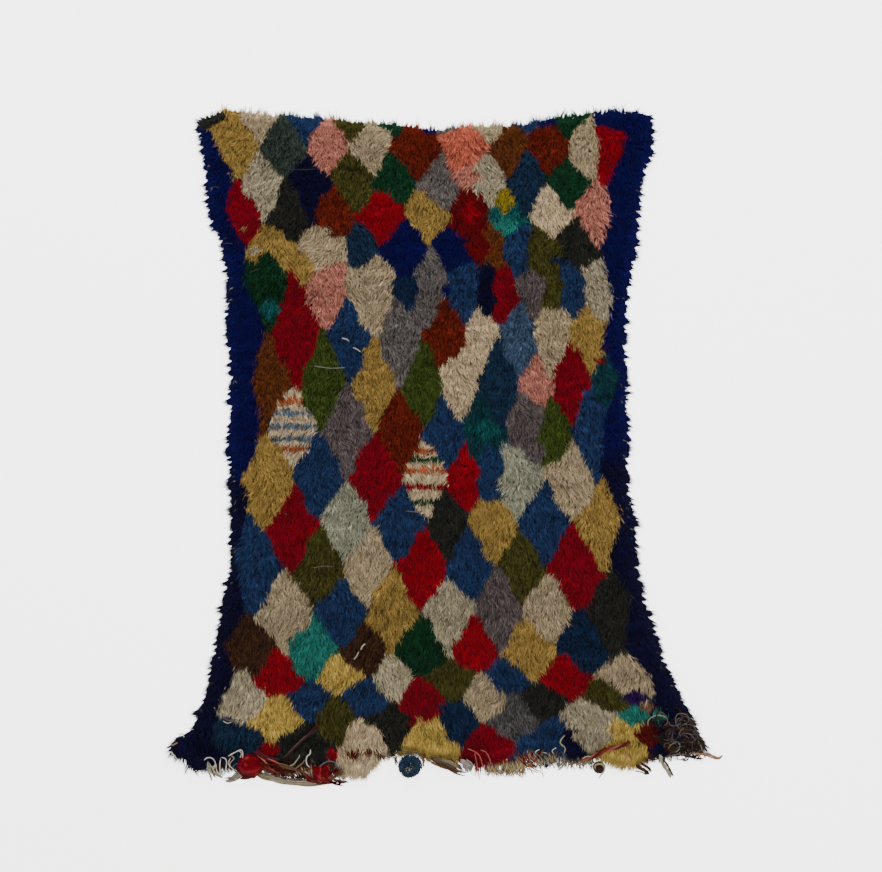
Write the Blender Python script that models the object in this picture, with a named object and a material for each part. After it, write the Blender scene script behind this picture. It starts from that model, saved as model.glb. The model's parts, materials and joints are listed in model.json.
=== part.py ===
"""Berber rug: a hand-knotted shag rug laid flat, pile up.

Metres, +Z up.  The origin is under the middle of the rug's box, on the floor.
+Y points to the upper end of the rug, and the pile lies towards -Y.
"""
from collections import namedtuple

import bmesh
import bpy
import numpy as np
from mathutils import Vector
from mathutils.bvhtree import BVHTree

CM = 0.01
MM = 0.001

# Slab of ground cloth and pile
GROUND_THICKNESS = 5 * MM      # woven ground with the backs of the knots
PILE_HOLLOW = 16 * MM          # height of the pile between two tufts
PILE_CROWN = 25.5 * MM         # height of the pile over a tuft
PILE_UNEVEN = 2 * MM           # how far one tuft differs from the next
RIM_HEIGHT = 14 * MM           # height of the pile over the woven edge
TUFTS_ACROSS = 43
TUFTS_ALONG = 57
TUFT_WANDER = 7 * MM           # sideways wander of a tuft
EDGE_WAVER = 1.6 * MM          # fine waver of the woven edges
EDGE_WAVES = 19

# Locks at the rim
LOCK_REACH = 15 * MM           # mean reach beyond the woven side edges
LOCK_UNEVEN = 0.45             # share by which one lock's reach differs from the next
LOCK_DROOP = 0.45              # lean of the side locks towards the lower end, as a share of reach
TOP_LOCK_REACH = 9 * MM        # mean reach beyond the upper end
LOCK_TIP_HEIGHT = 7 * MM
LOCK_STRAY = 2 * MM            # how far a lock strays from its straight way
ROOT_WIDTH = 0.74              # width of a lock near its root, as a share of its place
TIP_WIDTH = 0.35               # width of its tip, as a share of its place
LONG_TUFT_SPAN = 1.8 * CM      # half the length of edge that a long tuft takes

# Fringe at the lower edge
STRIP_WIDTH = 12 * MM
STRIP_THICKNESS = 4 * MM
STRIP_PLACES = 96              # places along the strip where a loose end may leave it
STRIP_INSET = 0.012            # share of the rug's width left free at both ends of the strip
STRAND_WIDTH = 5 * MM
STRAND_SWAY = 3 * MM
SEAT_GAP = 0.3 * MM            # gap kept between pieces that touch

# Edges of the woven ground in centimetres, from the upper end to the lower one
Section = namedtuple("Section", "along left right")
SECTIONS = [
    Section(along=99, left=-73.2, right=60.5),
    Section(along=91, left=-72.0, right=62.4),
    Section(along=80, left=-70.4, right=59.0),
    Section(along=69, left=-69.8, right=57.4),
    Section(along=61, left=-65.4, right=57.0),
    Section(along=49, left=-64.0, right=55.0),
    Section(along=35, left=-64.4, right=53.4),
    Section(along=22, left=-62.8, right=53.9),
    Section(along=10, left=-63.2, right=54.2),
    Section(along=-2, left=-63.6, right=54.8),
    Section(along=-14, left=-63.2, right=54.4),
    Section(along=-25, left=-63.0, right=55.8),
    Section(along=-37, left=-63.2, right=57.0),
    Section(along=-46, left=-65.0, right=59.0),
    Section(along=-57, left=-67.0, right=62.8),
    Section(along=-65, left=-68.2, right=65.2),
    Section(along=-74, left=-70.8, right=70.0),
    Section(along=-82, left=-74.6, right=73.2),
    Section(along=-88, left=-81.0, right=76.6),
    Section(along=-93, left=-83.0, right=78.4),
]

# The two ends in centimetres, at shares of the width from left to right
End = namedtuple("End", "share lower upper")
ENDS = [
    End(share=0.00, lower=-88.5, upper=97.2),
    End(share=0.06, lower=-91.5, upper=99.4),
    End(share=0.15, lower=-92.8, upper=98.6),
    End(share=0.25, lower=-93.2, upper=98.0),
    End(share=0.35, lower=-93.4, upper=96.4),
    End(share=0.45, lower=-92.6, upper=95.6),
    End(share=0.52, lower=-92.4, upper=94.2),
    End(share=0.60, lower=-92.8, upper=95.4),
    End(share=0.70, lower=-92.6, upper=95.4),
    End(share=0.80, lower=-92.8, upper=97.8),
    End(share=0.90, lower=-92.4, upper=99.8),
    End(share=0.96, lower=-90.8, upper=100.0),
    End(share=1.00, lower=-87.8, upper=97.8),
]

# Long tufts that stand out of the sides: centimetres along the rug, and further reach
Tuft = namedtuple("Tuft", "side along reach")
LONG_TUFTS = [
    Tuft(side="left", along=90, reach=1.0),
    Tuft(side="left", along=35, reach=1.4),
    Tuft(side="left", along=11, reach=1.2),
    Tuft(side="left", along=-25, reach=1.6),
    Tuft(side="left", along=-43, reach=1.0),
    Tuft(side="left", along=-88, reach=2.2),
    Tuft(side="right", along=91, reach=1.6),
    Tuft(side="right", along=52, reach=1.2),
    Tuft(side="right", along=27, reach=1.0),
    Tuft(side="right", along=-1, reach=1.2),
    Tuft(side="right", along=-76, reach=1.8),
]

# Pile locks that hang over the lower edge, stretch by stretch, in centimetres
Stretch = namedtuple("Stretch", "start end reach")
LOWER_LOCKS = [
    Stretch(start=-84.0, end=-72.0, reach=4.4),
    Stretch(start=-72.0, end=-61.5, reach=2.6),
    Stretch(start=-53.5, end=-39.5, reach=2.2),
    Stretch(start=-33.5, end=-21.0, reach=6.4),
    Stretch(start=-21.0, end=-14.0, reach=1.8),
    Stretch(start=-6.0, end=0.0, reach=2.2),
    Stretch(start=0.0, end=19.0, reach=4.5),
    Stretch(start=19.0, end=46.0, reach=3.0),
    Stretch(start=46.0, end=62.0, reach=4.6),
    Stretch(start=62.0, end=84.0, reach=2.6),
]

# Loose ends below the lower edge, stretch by stretch, in centimetres
LOOSE_ENDS = [
    Stretch(start=-74.0, end=-62.0, reach=6.0),
    Stretch(start=-53.0, end=-41.0, reach=6.4),
    Stretch(start=-41.0, end=-33.0, reach=1.8),
    Stretch(start=-33.0, end=-28.0, reach=5.0),
    Stretch(start=-21.0, end=-15.0, reach=1.6),
    Stretch(start=-5.0, end=8.0, reach=3.4),
    Stretch(start=8.0, end=31.0, reach=4.8),
    Stretch(start=31.0, end=57.0, reach=3.0),
    Stretch(start=57.0, end=73.0, reach=4.6),
    Stretch(start=73.0, end=82.0, reach=6.2),
]

# Sideways lean of the loose ends as a share of their reach, at places across the rug
Lean = namedtuple("Lean", "across lean")
LEANS = [
    Lean(across=-74, lean=-0.1),
    Lean(across=-54, lean=0.05),
    Lean(across=-40, lean=0.10),
    Lean(across=-28, lean=0.15),
    Lean(across=-5, lean=0.20),
    Lean(across=31, lean=0.05),
    Lean(across=45, lean=-0.15),
    Lean(across=60, lean=0.20),
    Lean(across=76, lean=1.50),
]

# Steps of a loose end as shares of its reach, its lean and its width
Step = namedtuple("Step", "out aside width")
STRAND_STEPS = [
    Step(out=0.2, aside=0.15, width=1.0),
    Step(out=0.6, aside=0.60, width=0.9),
    Step(out=1.0, aside=1.00, width=0.7),
]

# Balls tied in at the lower edge: sizes in centimetres
LARGE_KNOT = {"across": -57.6, "radius": 3.5, "height": 4.4, "rough": 0.10, "seed": 3}
SMALL_KNOT = {"across": -36.6, "radius": 2.5, "height": 3.4, "rough": 0.12, "seed": 5}
POMPOM = {"across": -10.0, "radius": 3.3, "height": 4.4, "rough": 0.08, "seed": 8}
BALL_SUNK = 0.88               # height of a ball's middle, as a share of half its height
APPROACH = 25 * CM             # distance from which a ball is brought to the lower edge

# Rag rolled to a cord, lying over the lower edge of the pile: centimetres
CORD_ROUTE = [
    Vector((41.6, -95.0, 2.2)),
    Vector((45.0, -93.9, 2.4)),
    Vector((49.0, -91.6, 3.2)),
    Vector((53.0, -90.4, 3.7)),
    Vector((56.2, -89.2, 3.7)),
]
CORD_RADIUS = 7.5 * MM
CORD_POINTS = 15
CORD_TAPER = 0.55              # radius of its two ends, as a share of the middle's


def clear_scene():
    for ob in list(bpy.data.objects):
        bpy.data.objects.remove(ob, do_unlink=True)


def make_material(name, colour):
    mat = bpy.data.materials.new(name)
    mat.use_nodes = True
    shader = mat.node_tree.nodes["Principled BSDF"]
    shader.inputs["Base Color"].default_value = (*colour, 1.0)
    shader.inputs["Roughness"].default_value = 0.95
    shader.inputs["Metallic"].default_value = 0.0
    mat.diffuse_color = (*colour, 1.0)
    return mat


def new_object(name, bm, collection, colour):
    """Turn a bmesh into a named object with its own material."""
    bmesh.ops.recalc_face_normals(bm, faces=bm.faces)
    mesh = bpy.data.meshes.new(name)
    bm.to_mesh(mesh)
    bm.free()
    ob = bpy.data.objects.new(name, mesh)
    collection.objects.link(ob)
    mesh.materials.append(make_material(name + "_wool", colour))
    return ob


# Outline

def side_edges(y):
    """Left and right woven edge at a place along the rug."""
    rows = SECTIONS[::-1]
    along = [row.along * CM for row in rows]
    waver = EDGE_WAVER * np.sin(y * EDGE_WAVES)
    left = np.interp(y, along, [row.left * CM for row in rows]) + waver
    right = np.interp(y, along, [row.right * CM for row in rows]) + waver
    return left, right


def rug_point(across, along):
    """Point of the woven ground at shares 0 to 1 of the rug's width and length."""
    shares = [end.share for end in ENDS]
    waver = EDGE_WAVER * np.sin(across * EDGE_WAVES)
    lower = np.interp(across, shares, [end.lower * CM for end in ENDS]) + waver
    upper = np.interp(across, shares, [end.upper * CM for end in ENDS]) + waver
    y = lower + (upper - lower) * along
    left, right = side_edges(y)
    return Vector((left + (right - left) * across, y, 0.0))


def reach_at(rows, x):
    """Reach given by the stretch that holds x, or 0 where there is none."""
    for row in rows:
        if row.start * CM <= x < row.end * CM:
            return row.reach * CM
    return 0.0


def lean_at(x):
    return np.interp(x, [row.across * CM for row in LEANS], [row.lean for row in LEANS])


# Closed slabs and what grows from their rims

def raise_faces(bm, faces, height):
    """Extrude faces and set the new ones level at a height."""
    found = bmesh.ops.extrude_face_region(bm, geom=faces)["geom"]
    for item in found:
        if isinstance(item, bmesh.types.BMVert):
            item.co.z = height
    return [item for item in found if isinstance(item, bmesh.types.BMFace)]


def close_underside(bm, faces):
    """Replace the underside's faces by one flat face."""
    bmesh.ops.delete(bm, geom=faces, context="FACES")
    rim = [edge for edge in bm.edges if edge.is_boundary]
    bmesh.ops.contextual_create(bm, geom=rim)


def level_normal(face):
    normal = face.normal.copy()
    normal.z = 0.0
    return normal.normalized()


def grow(bm, face, rings):
    """Grow a tapering lock from a face of the rim.

    Each ring is (centre, width share, lowest z, highest z); the lock keeps four sides.
    """
    out = level_normal(face)
    side = Vector((-out.y, out.x, 0.0))
    middle = face.calc_center_median()
    corners = [((v.co - middle).dot(side), v.co.z > middle.z) for v in face.verts]
    for centre, width, low, high in rings:
        face = bmesh.ops.extrude_discrete_faces(bm, faces=[face])["faces"][0]
        for vert, (across, is_high) in zip(face.verts, corners):
            vert.co = centre + side * (across * width)
            vert.co.z = high if is_high else low


def side_lock(face, rng):
    """Rings of a lock at a side or at the upper end, which comes down to the floor."""
    out = level_normal(face)
    start = face.calc_center_median()
    high = max(v.co.z for v in face.verts)
    upper_end = out.y > 0.8
    reach = TOP_LOCK_REACH if upper_end else LOCK_REACH
    reach *= 1 + rng.uniform(-1, 1) * LOCK_UNEVEN
    for tuft in LONG_TUFTS:
        is_here = abs(start.y - tuft.along * CM) < LONG_TUFT_SPAN and abs(out.x) > 0.6
        if is_here and (tuft.side == "left") == (out.x < 0):
            reach += tuft.reach * CM
    droop = Vector((0.0, 0.0 if upper_end else -LOCK_DROOP * reach, 0.0))
    stray = Vector((-out.y, out.x, 0.0)) * rng.uniform(-1, 1) * LOCK_STRAY
    return [
        (start + out * reach * 0.45 + droop * 0.3 + stray, ROOT_WIDTH, 0.0, high * 0.86),
        (start + out * reach + droop + stray * 2, TIP_WIDTH, 0.0, LOCK_TIP_HEIGHT),
    ]


def lower_lock(face, reach, rng):
    """Rings of a lock that hangs over the lower edge and lies on the fringe."""
    start = face.calc_center_median()
    high = max(v.co.z for v in face.verts)
    low = STRIP_THICKNESS + 2 * SEAT_GAP
    reach *= 1 + rng.uniform(-0.7, 0.7) * LOCK_UNEVEN
    out = Vector((0.0, -1.0, 0.0))
    stray = Vector((rng.uniform(-1, 1) * LOCK_STRAY, 0.0, 0.0))
    return [
        (start + out * reach * 0.5 + stray, ROOT_WIDTH, low, high * 0.9),
        (start + out * reach + stray * 3, TIP_WIDTH, low, low + LOCK_TIP_HEIGHT),
    ]


def make_rug(collection):
    rng = np.random.default_rng(11)
    bm = bmesh.new()
    bmesh.ops.create_grid(bm, x_segments=TUFTS_ACROSS, y_segments=TUFTS_ALONG, size=0.5)
    column = bm.verts.layers.int.new("column")
    row = bm.verts.layers.int.new("row")
    for vert in bm.verts:
        across, along = vert.co.x + 0.5, vert.co.y + 0.5
        vert[column] = round(across * TUFTS_ACROSS)
        vert[row] = round(along * TUFTS_ALONG)
        vert.co = rug_point(across, along)
    ground = raise_faces(bm, bm.faces[:], GROUND_THICKNESS)
    pile = raise_faces(bm, ground, RIM_HEIGHT)
    bmesh.ops.delete(bm, geom=ground, context="FACES")
    close_underside(bm, [f for f in bm.faces if max(v.co.z for v in f.verts) < MM])
    bmesh.ops.recalc_face_normals(bm, faces=bm.faces)

    pile_faces = set(pile)
    tufts = sorted({v for f in pile for v in f.verts}, key=lambda v: (v[row], v[column]))
    for vert in tufts:
        uneven = rng.uniform(-1, 1) * PILE_UNEVEN
        wander = Vector((rng.uniform(-1, 1), rng.uniform(-1, 1), 0.0)) * TUFT_WANDER
        if pile_faces.issuperset(vert.link_faces):
            vert.co += wander
            vert.co.z = (PILE_CROWN if (vert[row] + vert[column]) % 2 else PILE_HOLLOW) + uneven
        else:
            vert.co.z = RIM_HEIGHT + uneven

    rim = [f for f in bm.faces if f not in pile_faces and is_pile_wall(f)]
    rim.sort(key=lambda f: (round(f.calc_center_median().y, 4), f.calc_center_median().x))
    for face in rim:
        if level_normal(face).y < -0.8:
            reach = reach_at(LOWER_LOCKS, face.calc_center_median().x)
            if reach:
                grow(bm, face, lower_lock(face, reach, rng))
        else:
            grow(bm, face, side_lock(face, rng))
    return new_object("pile_rug", bm, collection, (0.05, 0.07, 0.16))


def is_pile_wall(face):
    """True for the upper band of the rim, between the ground cloth and the pile's top."""
    heights = [v.co.z for v in face.verts]
    return min(heights) > GROUND_THICKNESS - MM and abs(face.normal.z) < 0.5


def make_fringe(collection):
    rng = np.random.default_rng(23)
    bm = bmesh.new()
    bmesh.ops.create_grid(bm, x_segments=STRIP_PLACES, y_segments=1, size=0.5)
    for vert in bm.verts:
        outer = vert.co.y < 0
        point = rug_point(STRIP_INSET + (1 - 2 * STRIP_INSET) * (vert.co.x + 0.5), 0.0)
        point.y -= SEAT_GAP * 1.5 + (STRIP_WIDTH if outer else 0.0)
        vert.co = point
    raise_faces(bm, bm.faces[:], STRIP_THICKNESS)
    bmesh.ops.recalc_face_normals(bm, faces=bm.faces)

    roots = [f for f in bm.faces if f.normal.y < -0.8]
    roots.sort(key=lambda f: f.calc_center_median().x)
    for face in roots:
        start = face.calc_center_median()
        reach = reach_at(LOOSE_ENDS, start.x) * (1 + rng.uniform(-0.35, 0.2))
        if not reach:
            continue
        width = STRAND_WIDTH / max(edge.calc_length() for edge in face.edges)
        lean = lean_at(start.x)
        sway = rng.uniform(-1, 1) * STRAND_SWAY
        rings = []
        for step in STRAND_STEPS:
            aside = lean * reach * step.aside + sway * step.out
            centre = start + Vector((aside, -reach * step.out, 0.0))
            rings.append((centre, width * step.width, 0.0, STRIP_THICKNESS * step.width))
        grow(bm, face, rings)
    return new_object("lower_fringe", bm, collection, (0.45, 0.36, 0.26))


# Balls and cord

def edge_samples(ob, box_low, box_high):
    """Points along the edges of a mesh that lie inside a box."""
    points = []
    verts = ob.data.vertices
    for edge in ob.data.edges:
        a, b = (verts[i].co for i in edge.vertices)
        if all(max(a[i], b[i]) > box_low[i] and min(a[i], b[i]) < box_high[i] for i in range(3)):
            points += [a.lerp(b, share) for share in (0.0, 0.25, 0.5, 0.75, 1.0)]
    return points


def tree_of(ob):
    mesh = ob.data
    return BVHTree.FromPolygons([v.co for v in mesh.vertices], [p.vertices for p in mesh.polygons])


def seat(ob, neighbours, direction):
    """Move a piece along a direction until it lies the seat gap from what it meets first."""
    around = Vector((1.0, 1.0, 1.0)) * APPROACH
    corners = [v.co for v in ob.data.vertices]
    low = Vector([min(c[i] for c in corners) for i in range(3)]) - around
    high = Vector([max(c[i] for c in corners) for i in range(3)]) + around
    own_points = edge_samples(ob, low, high)
    own_tree = tree_of(ob)
    other_points = [p for other in neighbours for p in edge_samples(other, low, high)]
    other_trees = [tree_of(other) for other in neighbours]
    moved = Vector((0.0, 0.0, 0.0))
    for _ in range(60):
        gap = min(tree.find_nearest(p + moved)[3] for tree in other_trees for p in own_points)
        gap = min(gap, min(own_tree.find_nearest(p - moved)[3] for p in other_points))
        if gap < SEAT_GAP * 1.2:
            break
        moved += direction * (gap - SEAT_GAP)
    for vert in ob.data.vertices:
        vert.co += moved


def make_ball(name, size, collection, colour, neighbours):
    """A lumpy ball of rag or yarn with a small flat spot, seated against the lower edge."""
    rng = np.random.default_rng(size["seed"])
    radius = size["radius"] * CM
    half = size["height"] * CM / 2
    across = size["across"] * CM
    bm = bmesh.new()
    bmesh.ops.create_icosphere(bm, subdivisions=3, radius=1.0)
    middle = Vector((across, ENDS[0].lower * CM - APPROACH, half * BALL_SUNK))
    for vert in bm.verts:
        lump = 1 + rng.uniform(-1, 0.2) * size["rough"]
        vert.co = middle + lump * vert.co * Vector((radius, radius, half))
        vert.co.z = max(vert.co.z, 0.0)
    ob = new_object(name, bm, collection, colour)
    seat(ob, neighbours, Vector((0.0, 1.0, 0.0)))
    return ob


def smooth_route(points, count):
    """Places at even shares of a smooth curve through the given points."""
    ends = [2 * points[0] - points[1], *points, 2 * points[-1] - points[-2]]
    route = []
    for share in np.linspace(0, len(points) - 1, count):
        i = min(int(share), len(points) - 2)
        t = share - i
        a, b, c, d = ends[i:i + 4]
        slope = (c - a) * t
        bend = (2 * a - 5 * b + 4 * c - d) * t ** 2
        twist = (3 * b - a - 3 * c + d) * t ** 3
        route.append(b + (slope + bend + twist) / 2)
    return route


def make_cord(collection, neighbours):
    rng = np.random.default_rng(31)
    route = smooth_route([p * CM for p in CORD_ROUTE], CORD_POINTS)
    curve = bpy.data.curves.new("rag_cord_route", "CURVE")
    curve.dimensions = "3D"
    curve.bevel_depth = CORD_RADIUS
    curve.bevel_resolution = 2
    curve.use_fill_caps = True
    spline = curve.splines.new("POLY")
    spline.points.add(CORD_POINTS - 1)
    for i, (point, place) in enumerate(zip(spline.points, route)):
        share = i / (CORD_POINTS - 1)
        point.co = (*place, 1.0)
        bulge = CORD_TAPER + (1 - CORD_TAPER) * np.sin(np.pi * share) ** 0.5
        point.radius = bulge * (1 + rng.uniform(-0.08, 0.08))
    guide = bpy.data.objects.new("rag_cord_route", curve)
    collection.objects.link(guide)
    bpy.context.view_layer.update()
    mesh = bpy.data.meshes.new_from_object(guide.evaluated_get(bpy.context.evaluated_depsgraph_get()))
    bm = bmesh.new()
    bm.from_mesh(mesh)
    bmesh.ops.remove_doubles(bm, verts=bm.verts, dist=0.0001)
    bpy.data.objects.remove(guide, do_unlink=True)
    ob = new_object("rag_cord", bm, collection, (0.42, 0.10, 0.05))
    seat(ob, neighbours, Vector((0.0, 0.0, -1.0)))
    return ob


def centre_on_origin(parts):
    """Put the middle of the whole rug's box over the origin."""
    spots = [v.co for ob in parts for v in ob.data.vertices]
    middle_x = (min(s.x for s in spots) + max(s.x for s in spots)) / 2
    middle_y = (min(s.y for s in spots) + max(s.y for s in spots)) / 2
    for ob in parts:
        ob.location = (-middle_x, -middle_y, 0.0)


def main():
    clear_scene()
    collection = bpy.data.collections.new("berber_rug")
    bpy.context.scene.collection.children.link(collection)
    rug = make_rug(collection)
    fringe = make_fringe(collection)
    held = [rug, fringe]
    red = (0.30, 0.005, 0.01)
    blue = (0.01, 0.05, 0.10)
    balls = [
        make_ball("large_rag_knot", LARGE_KNOT, collection, red, held),
        make_ball("small_rag_knot", SMALL_KNOT, collection, red, held),
        make_ball("blue_pompom", POMPOM, collection, blue, held),
    ]
    cord = make_cord(collection, held)
    centre_on_origin([rug, fringe, *balls, cord])


main()
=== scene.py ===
import json
import math

import bpy
import numpy as np
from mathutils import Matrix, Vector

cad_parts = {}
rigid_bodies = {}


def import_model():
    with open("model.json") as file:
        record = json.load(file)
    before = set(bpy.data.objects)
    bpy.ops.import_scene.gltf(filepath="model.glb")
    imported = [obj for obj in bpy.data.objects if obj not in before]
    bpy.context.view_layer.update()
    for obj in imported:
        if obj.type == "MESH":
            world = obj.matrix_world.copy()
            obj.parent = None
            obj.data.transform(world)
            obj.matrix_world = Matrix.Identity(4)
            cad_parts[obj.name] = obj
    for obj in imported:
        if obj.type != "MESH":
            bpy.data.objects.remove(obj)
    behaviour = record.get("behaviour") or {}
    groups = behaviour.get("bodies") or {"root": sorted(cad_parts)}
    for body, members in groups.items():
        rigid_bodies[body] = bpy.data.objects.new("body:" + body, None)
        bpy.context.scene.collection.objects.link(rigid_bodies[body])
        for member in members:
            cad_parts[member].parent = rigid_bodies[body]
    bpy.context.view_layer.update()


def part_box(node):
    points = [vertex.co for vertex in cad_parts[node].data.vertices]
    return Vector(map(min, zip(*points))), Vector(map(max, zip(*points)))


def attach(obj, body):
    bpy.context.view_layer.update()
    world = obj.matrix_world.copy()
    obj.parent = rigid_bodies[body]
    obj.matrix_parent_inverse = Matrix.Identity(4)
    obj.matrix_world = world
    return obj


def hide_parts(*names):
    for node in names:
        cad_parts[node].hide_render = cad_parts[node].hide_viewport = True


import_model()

cm = 0.01
mm = 0.001
fullTurn = 6.283        # radians, for the shaders
tiny = 1e-12            # keeps a length from being zero
brightest = 0.95        # no dye is paler than this


# shader helpers: a socket that takes Python maths, and one method for every other node

class Wave:
    # wraps an output socket so that + - * work on it, with its sine and a threshold
    def __init__(self, tree, socket):
        self.tree = tree
        self.socket = socket

    def join(self, how, first, second):
        node = self.tree.nodes.new("ShaderNodeMath")
        node.operation = how
        for place, value in enumerate((first, second)):
            if isinstance(value, Wave):
                self.tree.links.new(value.socket, node.inputs[place])
            else:
                node.inputs[place].default_value = value
        return Wave(self.tree, node.outputs[0])

    def __add__(self, other):
        return self.join("ADD", self, other)

    def __radd__(self, other):
        return self.join("ADD", other, self)

    def __sub__(self, other):
        return self.join("SUBTRACT", self, other)

    def __rsub__(self, other):
        return self.join("SUBTRACT", other, self)

    def __mul__(self, other):
        return self.join("MULTIPLY", self, other)

    def __rmul__(self, other):
        return self.join("MULTIPLY", other, self)

    def sin(self):
        return self.join("SINE", self, 0.0)

    def above(self, level):
        return self.join("GREATER_THAN", self, level)


class Finish:
    # one node material; put() adds any node, with its settings first and then its sockets
    def __init__(self, name, roughness):
        self.material = bpy.data.materials.new(name)
        self.material.use_nodes = True
        self.tree = self.material.node_tree
        self.shader = self.tree.nodes["Principled BSDF"]
        self.shader.inputs["Roughness"].default_value = roughness
        self.shader.inputs["Specular IOR Level"].default_value = 0.05

    def put(self, kind, settings=None, **sockets):
        node = self.tree.nodes.new(kind)
        for key, value in (settings or {}).items():
            setattr(node, key, value)
        for key, value in sockets.items():
            self.feed(node.inputs[key], value)
        return node

    def feed(self, socket, value):
        if isinstance(value, Wave):
            value = value.socket
        if isinstance(value, bpy.types.NodeSocket):
            self.tree.links.new(value, socket)
        else:
            socket.default_value = value

    def wave(self, node, output=0):
        return Wave(self.tree, node.outputs[output])

    def mix(self, factor, first, second, blend="MIX"):
        node = self.put("ShaderNodeMix", {"data_type": "RGBA", "blend_type": blend})
        self.feed(node.inputs[0], factor)
        self.feed(node.inputs[6], first)
        self.feed(node.inputs[7], second)
        return node.outputs[2]

    def noise(self, coords, scale, detail):
        node = self.put("ShaderNodeTexNoise", Scale=scale, Detail=detail)
        self.feed(node.inputs["Vector"], coords)
        return self.wave(node)

    def colour(self, value):
        self.feed(self.shader.inputs["Base Color"], value)

    def tint(self, colour, shade):
        # this colour, darker or paler by a shade around 1, goes to the base colour
        tone = self.put("ShaderNodeCombineXYZ", X=shade, Y=shade, Z=shade)
        self.colour(self.mix(1.0, colour, tone.outputs[0], "MULTIPLY"))

    def dye(self):
        return self.put("ShaderNodeVertexColor", {"layer_name": "dye"}).outputs[0]

    def strandMap(self):
        # x runs round the strand, y along it
        place = self.put("ShaderNodeUVMap", {"uv_map": "along"})
        return self.put("ShaderNodeSeparateXYZ", Vector=place.outputs[0])

    def where(self):
        return self.put("ShaderNodeTexCoord").outputs["Object"]

    def bump(self, height, distance, strength):
        node = self.put("ShaderNodeBump", Strength=strength, Distance=distance)
        self.feed(node.inputs["Height"], height)
        self.tree.links.new(node.outputs[0], self.shader.inputs["Normal"])


def linear(red, green, blue):
    # a colour given as 0 to 255, as the shader wants it
    parts = []
    for value in (red, green, blue):
        value = value / 255
        parts.append(value / 12.92 if value <= 0.04045 else ((value + 0.055) / 1.055) ** 2.4)
    return (*parts, 1.0)


def noiseField(x, y, scale, seed):
    # soft wander from -1 to 1 over the rug, from a few crossed sine waves
    picks = np.random.default_rng(seed)
    total = np.zeros_like(x)
    for _ in range(6):
        turn = picks.uniform(0, 2 * math.pi)
        step = 2 * math.pi / scale * picks.uniform(0.6, 1.5)
        total += np.sin((x * math.cos(turn) + y * math.sin(turn)) * step + picks.uniform(0, 6.3))
    return total / 3


# strands: every yarn, rag end and cord is swept along its own path. It starts in a point, and ends in
# a point or, capped, in a small flat end

def sweepStrands(paths, radii, sides, turn, capped, flat):
    count, points, _ = paths.shape
    ways = np.gradient(paths, axis=1)
    ways /= np.linalg.norm(ways, axis=2, keepdims=True) + tiny
    nearlyUp = [0.06, 0.04, 1.0]
    across = np.cross(ways[:, 0], nearlyUp)
    angles = np.arange(sides)[None, :] * 2 * math.pi / sides + turn[:, None]
    rings = points - 1 if capped else points - 2
    verts = np.empty((count, rings * sides + (1 if capped else 2), 3))
    verts[:, 0] = paths[:, 0]
    if not capped:
        verts[:, -1] = paths[:, -1]
    for ring in range(1, rings + 1):
        across = across - (across * ways[:, ring]).sum(1, keepdims=True) * ways[:, ring]
        across /= np.linalg.norm(across, axis=1, keepdims=True) + tiny
        over = np.cross(ways[:, ring], across)
        aside = np.cos(angles)[..., None] * across[:, None]
        offset = aside + flat * np.sin(angles)[..., None] * over[:, None]
        low = 1 + (ring - 1) * sides
        verts[:, low:low + sides] = paths[:, ring, None] + radii[:, ring, None, None] * offset
    return verts


# a strand's own cell of the bake map: its side below and its flat end above, inside a margin
bakeCell = {"side": 0.62, "capMiddle": 0.82, "capRadius": 0.17, "margin": 0.08, "inner": 0.84}


def strandFaces(points, sides, capped):
    # one strand's faces: vertex numbers, places on its own map (round it, along it), and in its bake cell
    rings = points - 1 if capped else points - 2
    steps = np.linspace(0, 1, points)
    body = bakeCell["side"] if capped else 1.0
    faces = []
    for side in range(sides):
        after = (side + 1) % sides
        low, high, middle = side / sides, (side + 1) / sides, (side + 0.5) / sides
        faces.append(([0, 1 + after, 1 + side], [(middle, 0.0), (high, steps[1]), (low, steps[1])]))
        for ring in range(rings - 1):
            here = 1 + ring * sides
            there = here + sides
            faces.append(([here + side, here + after, there + after, there + side],
                          [(low, steps[ring + 1]), (high, steps[ring + 1]),
                           (high, steps[ring + 2]), (low, steps[ring + 2])]))
        if not capped:
            top = 1 + (rings - 1) * sides
            faces.append(([top + sides, top + side, top + after],
                          [(middle, 1.0), (low, steps[-2]), (high, steps[-2])]))
    parts = [(face, own, [(u, v * body) for u, v in own]) for face, own in faces]
    if capped:
        angles = np.arange(sides) * 2 * math.pi / sides
        disc = [(0.5 + bakeCell["capRadius"] * math.cos(angle),
                 bakeCell["capMiddle"] + bakeCell["capRadius"] * math.sin(angle)) for angle in angles]
        parts.append(([1 + (rings - 1) * sides + side for side in range(sides)], [(0.5, 1.0)] * sides, disc))
    return parts


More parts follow.
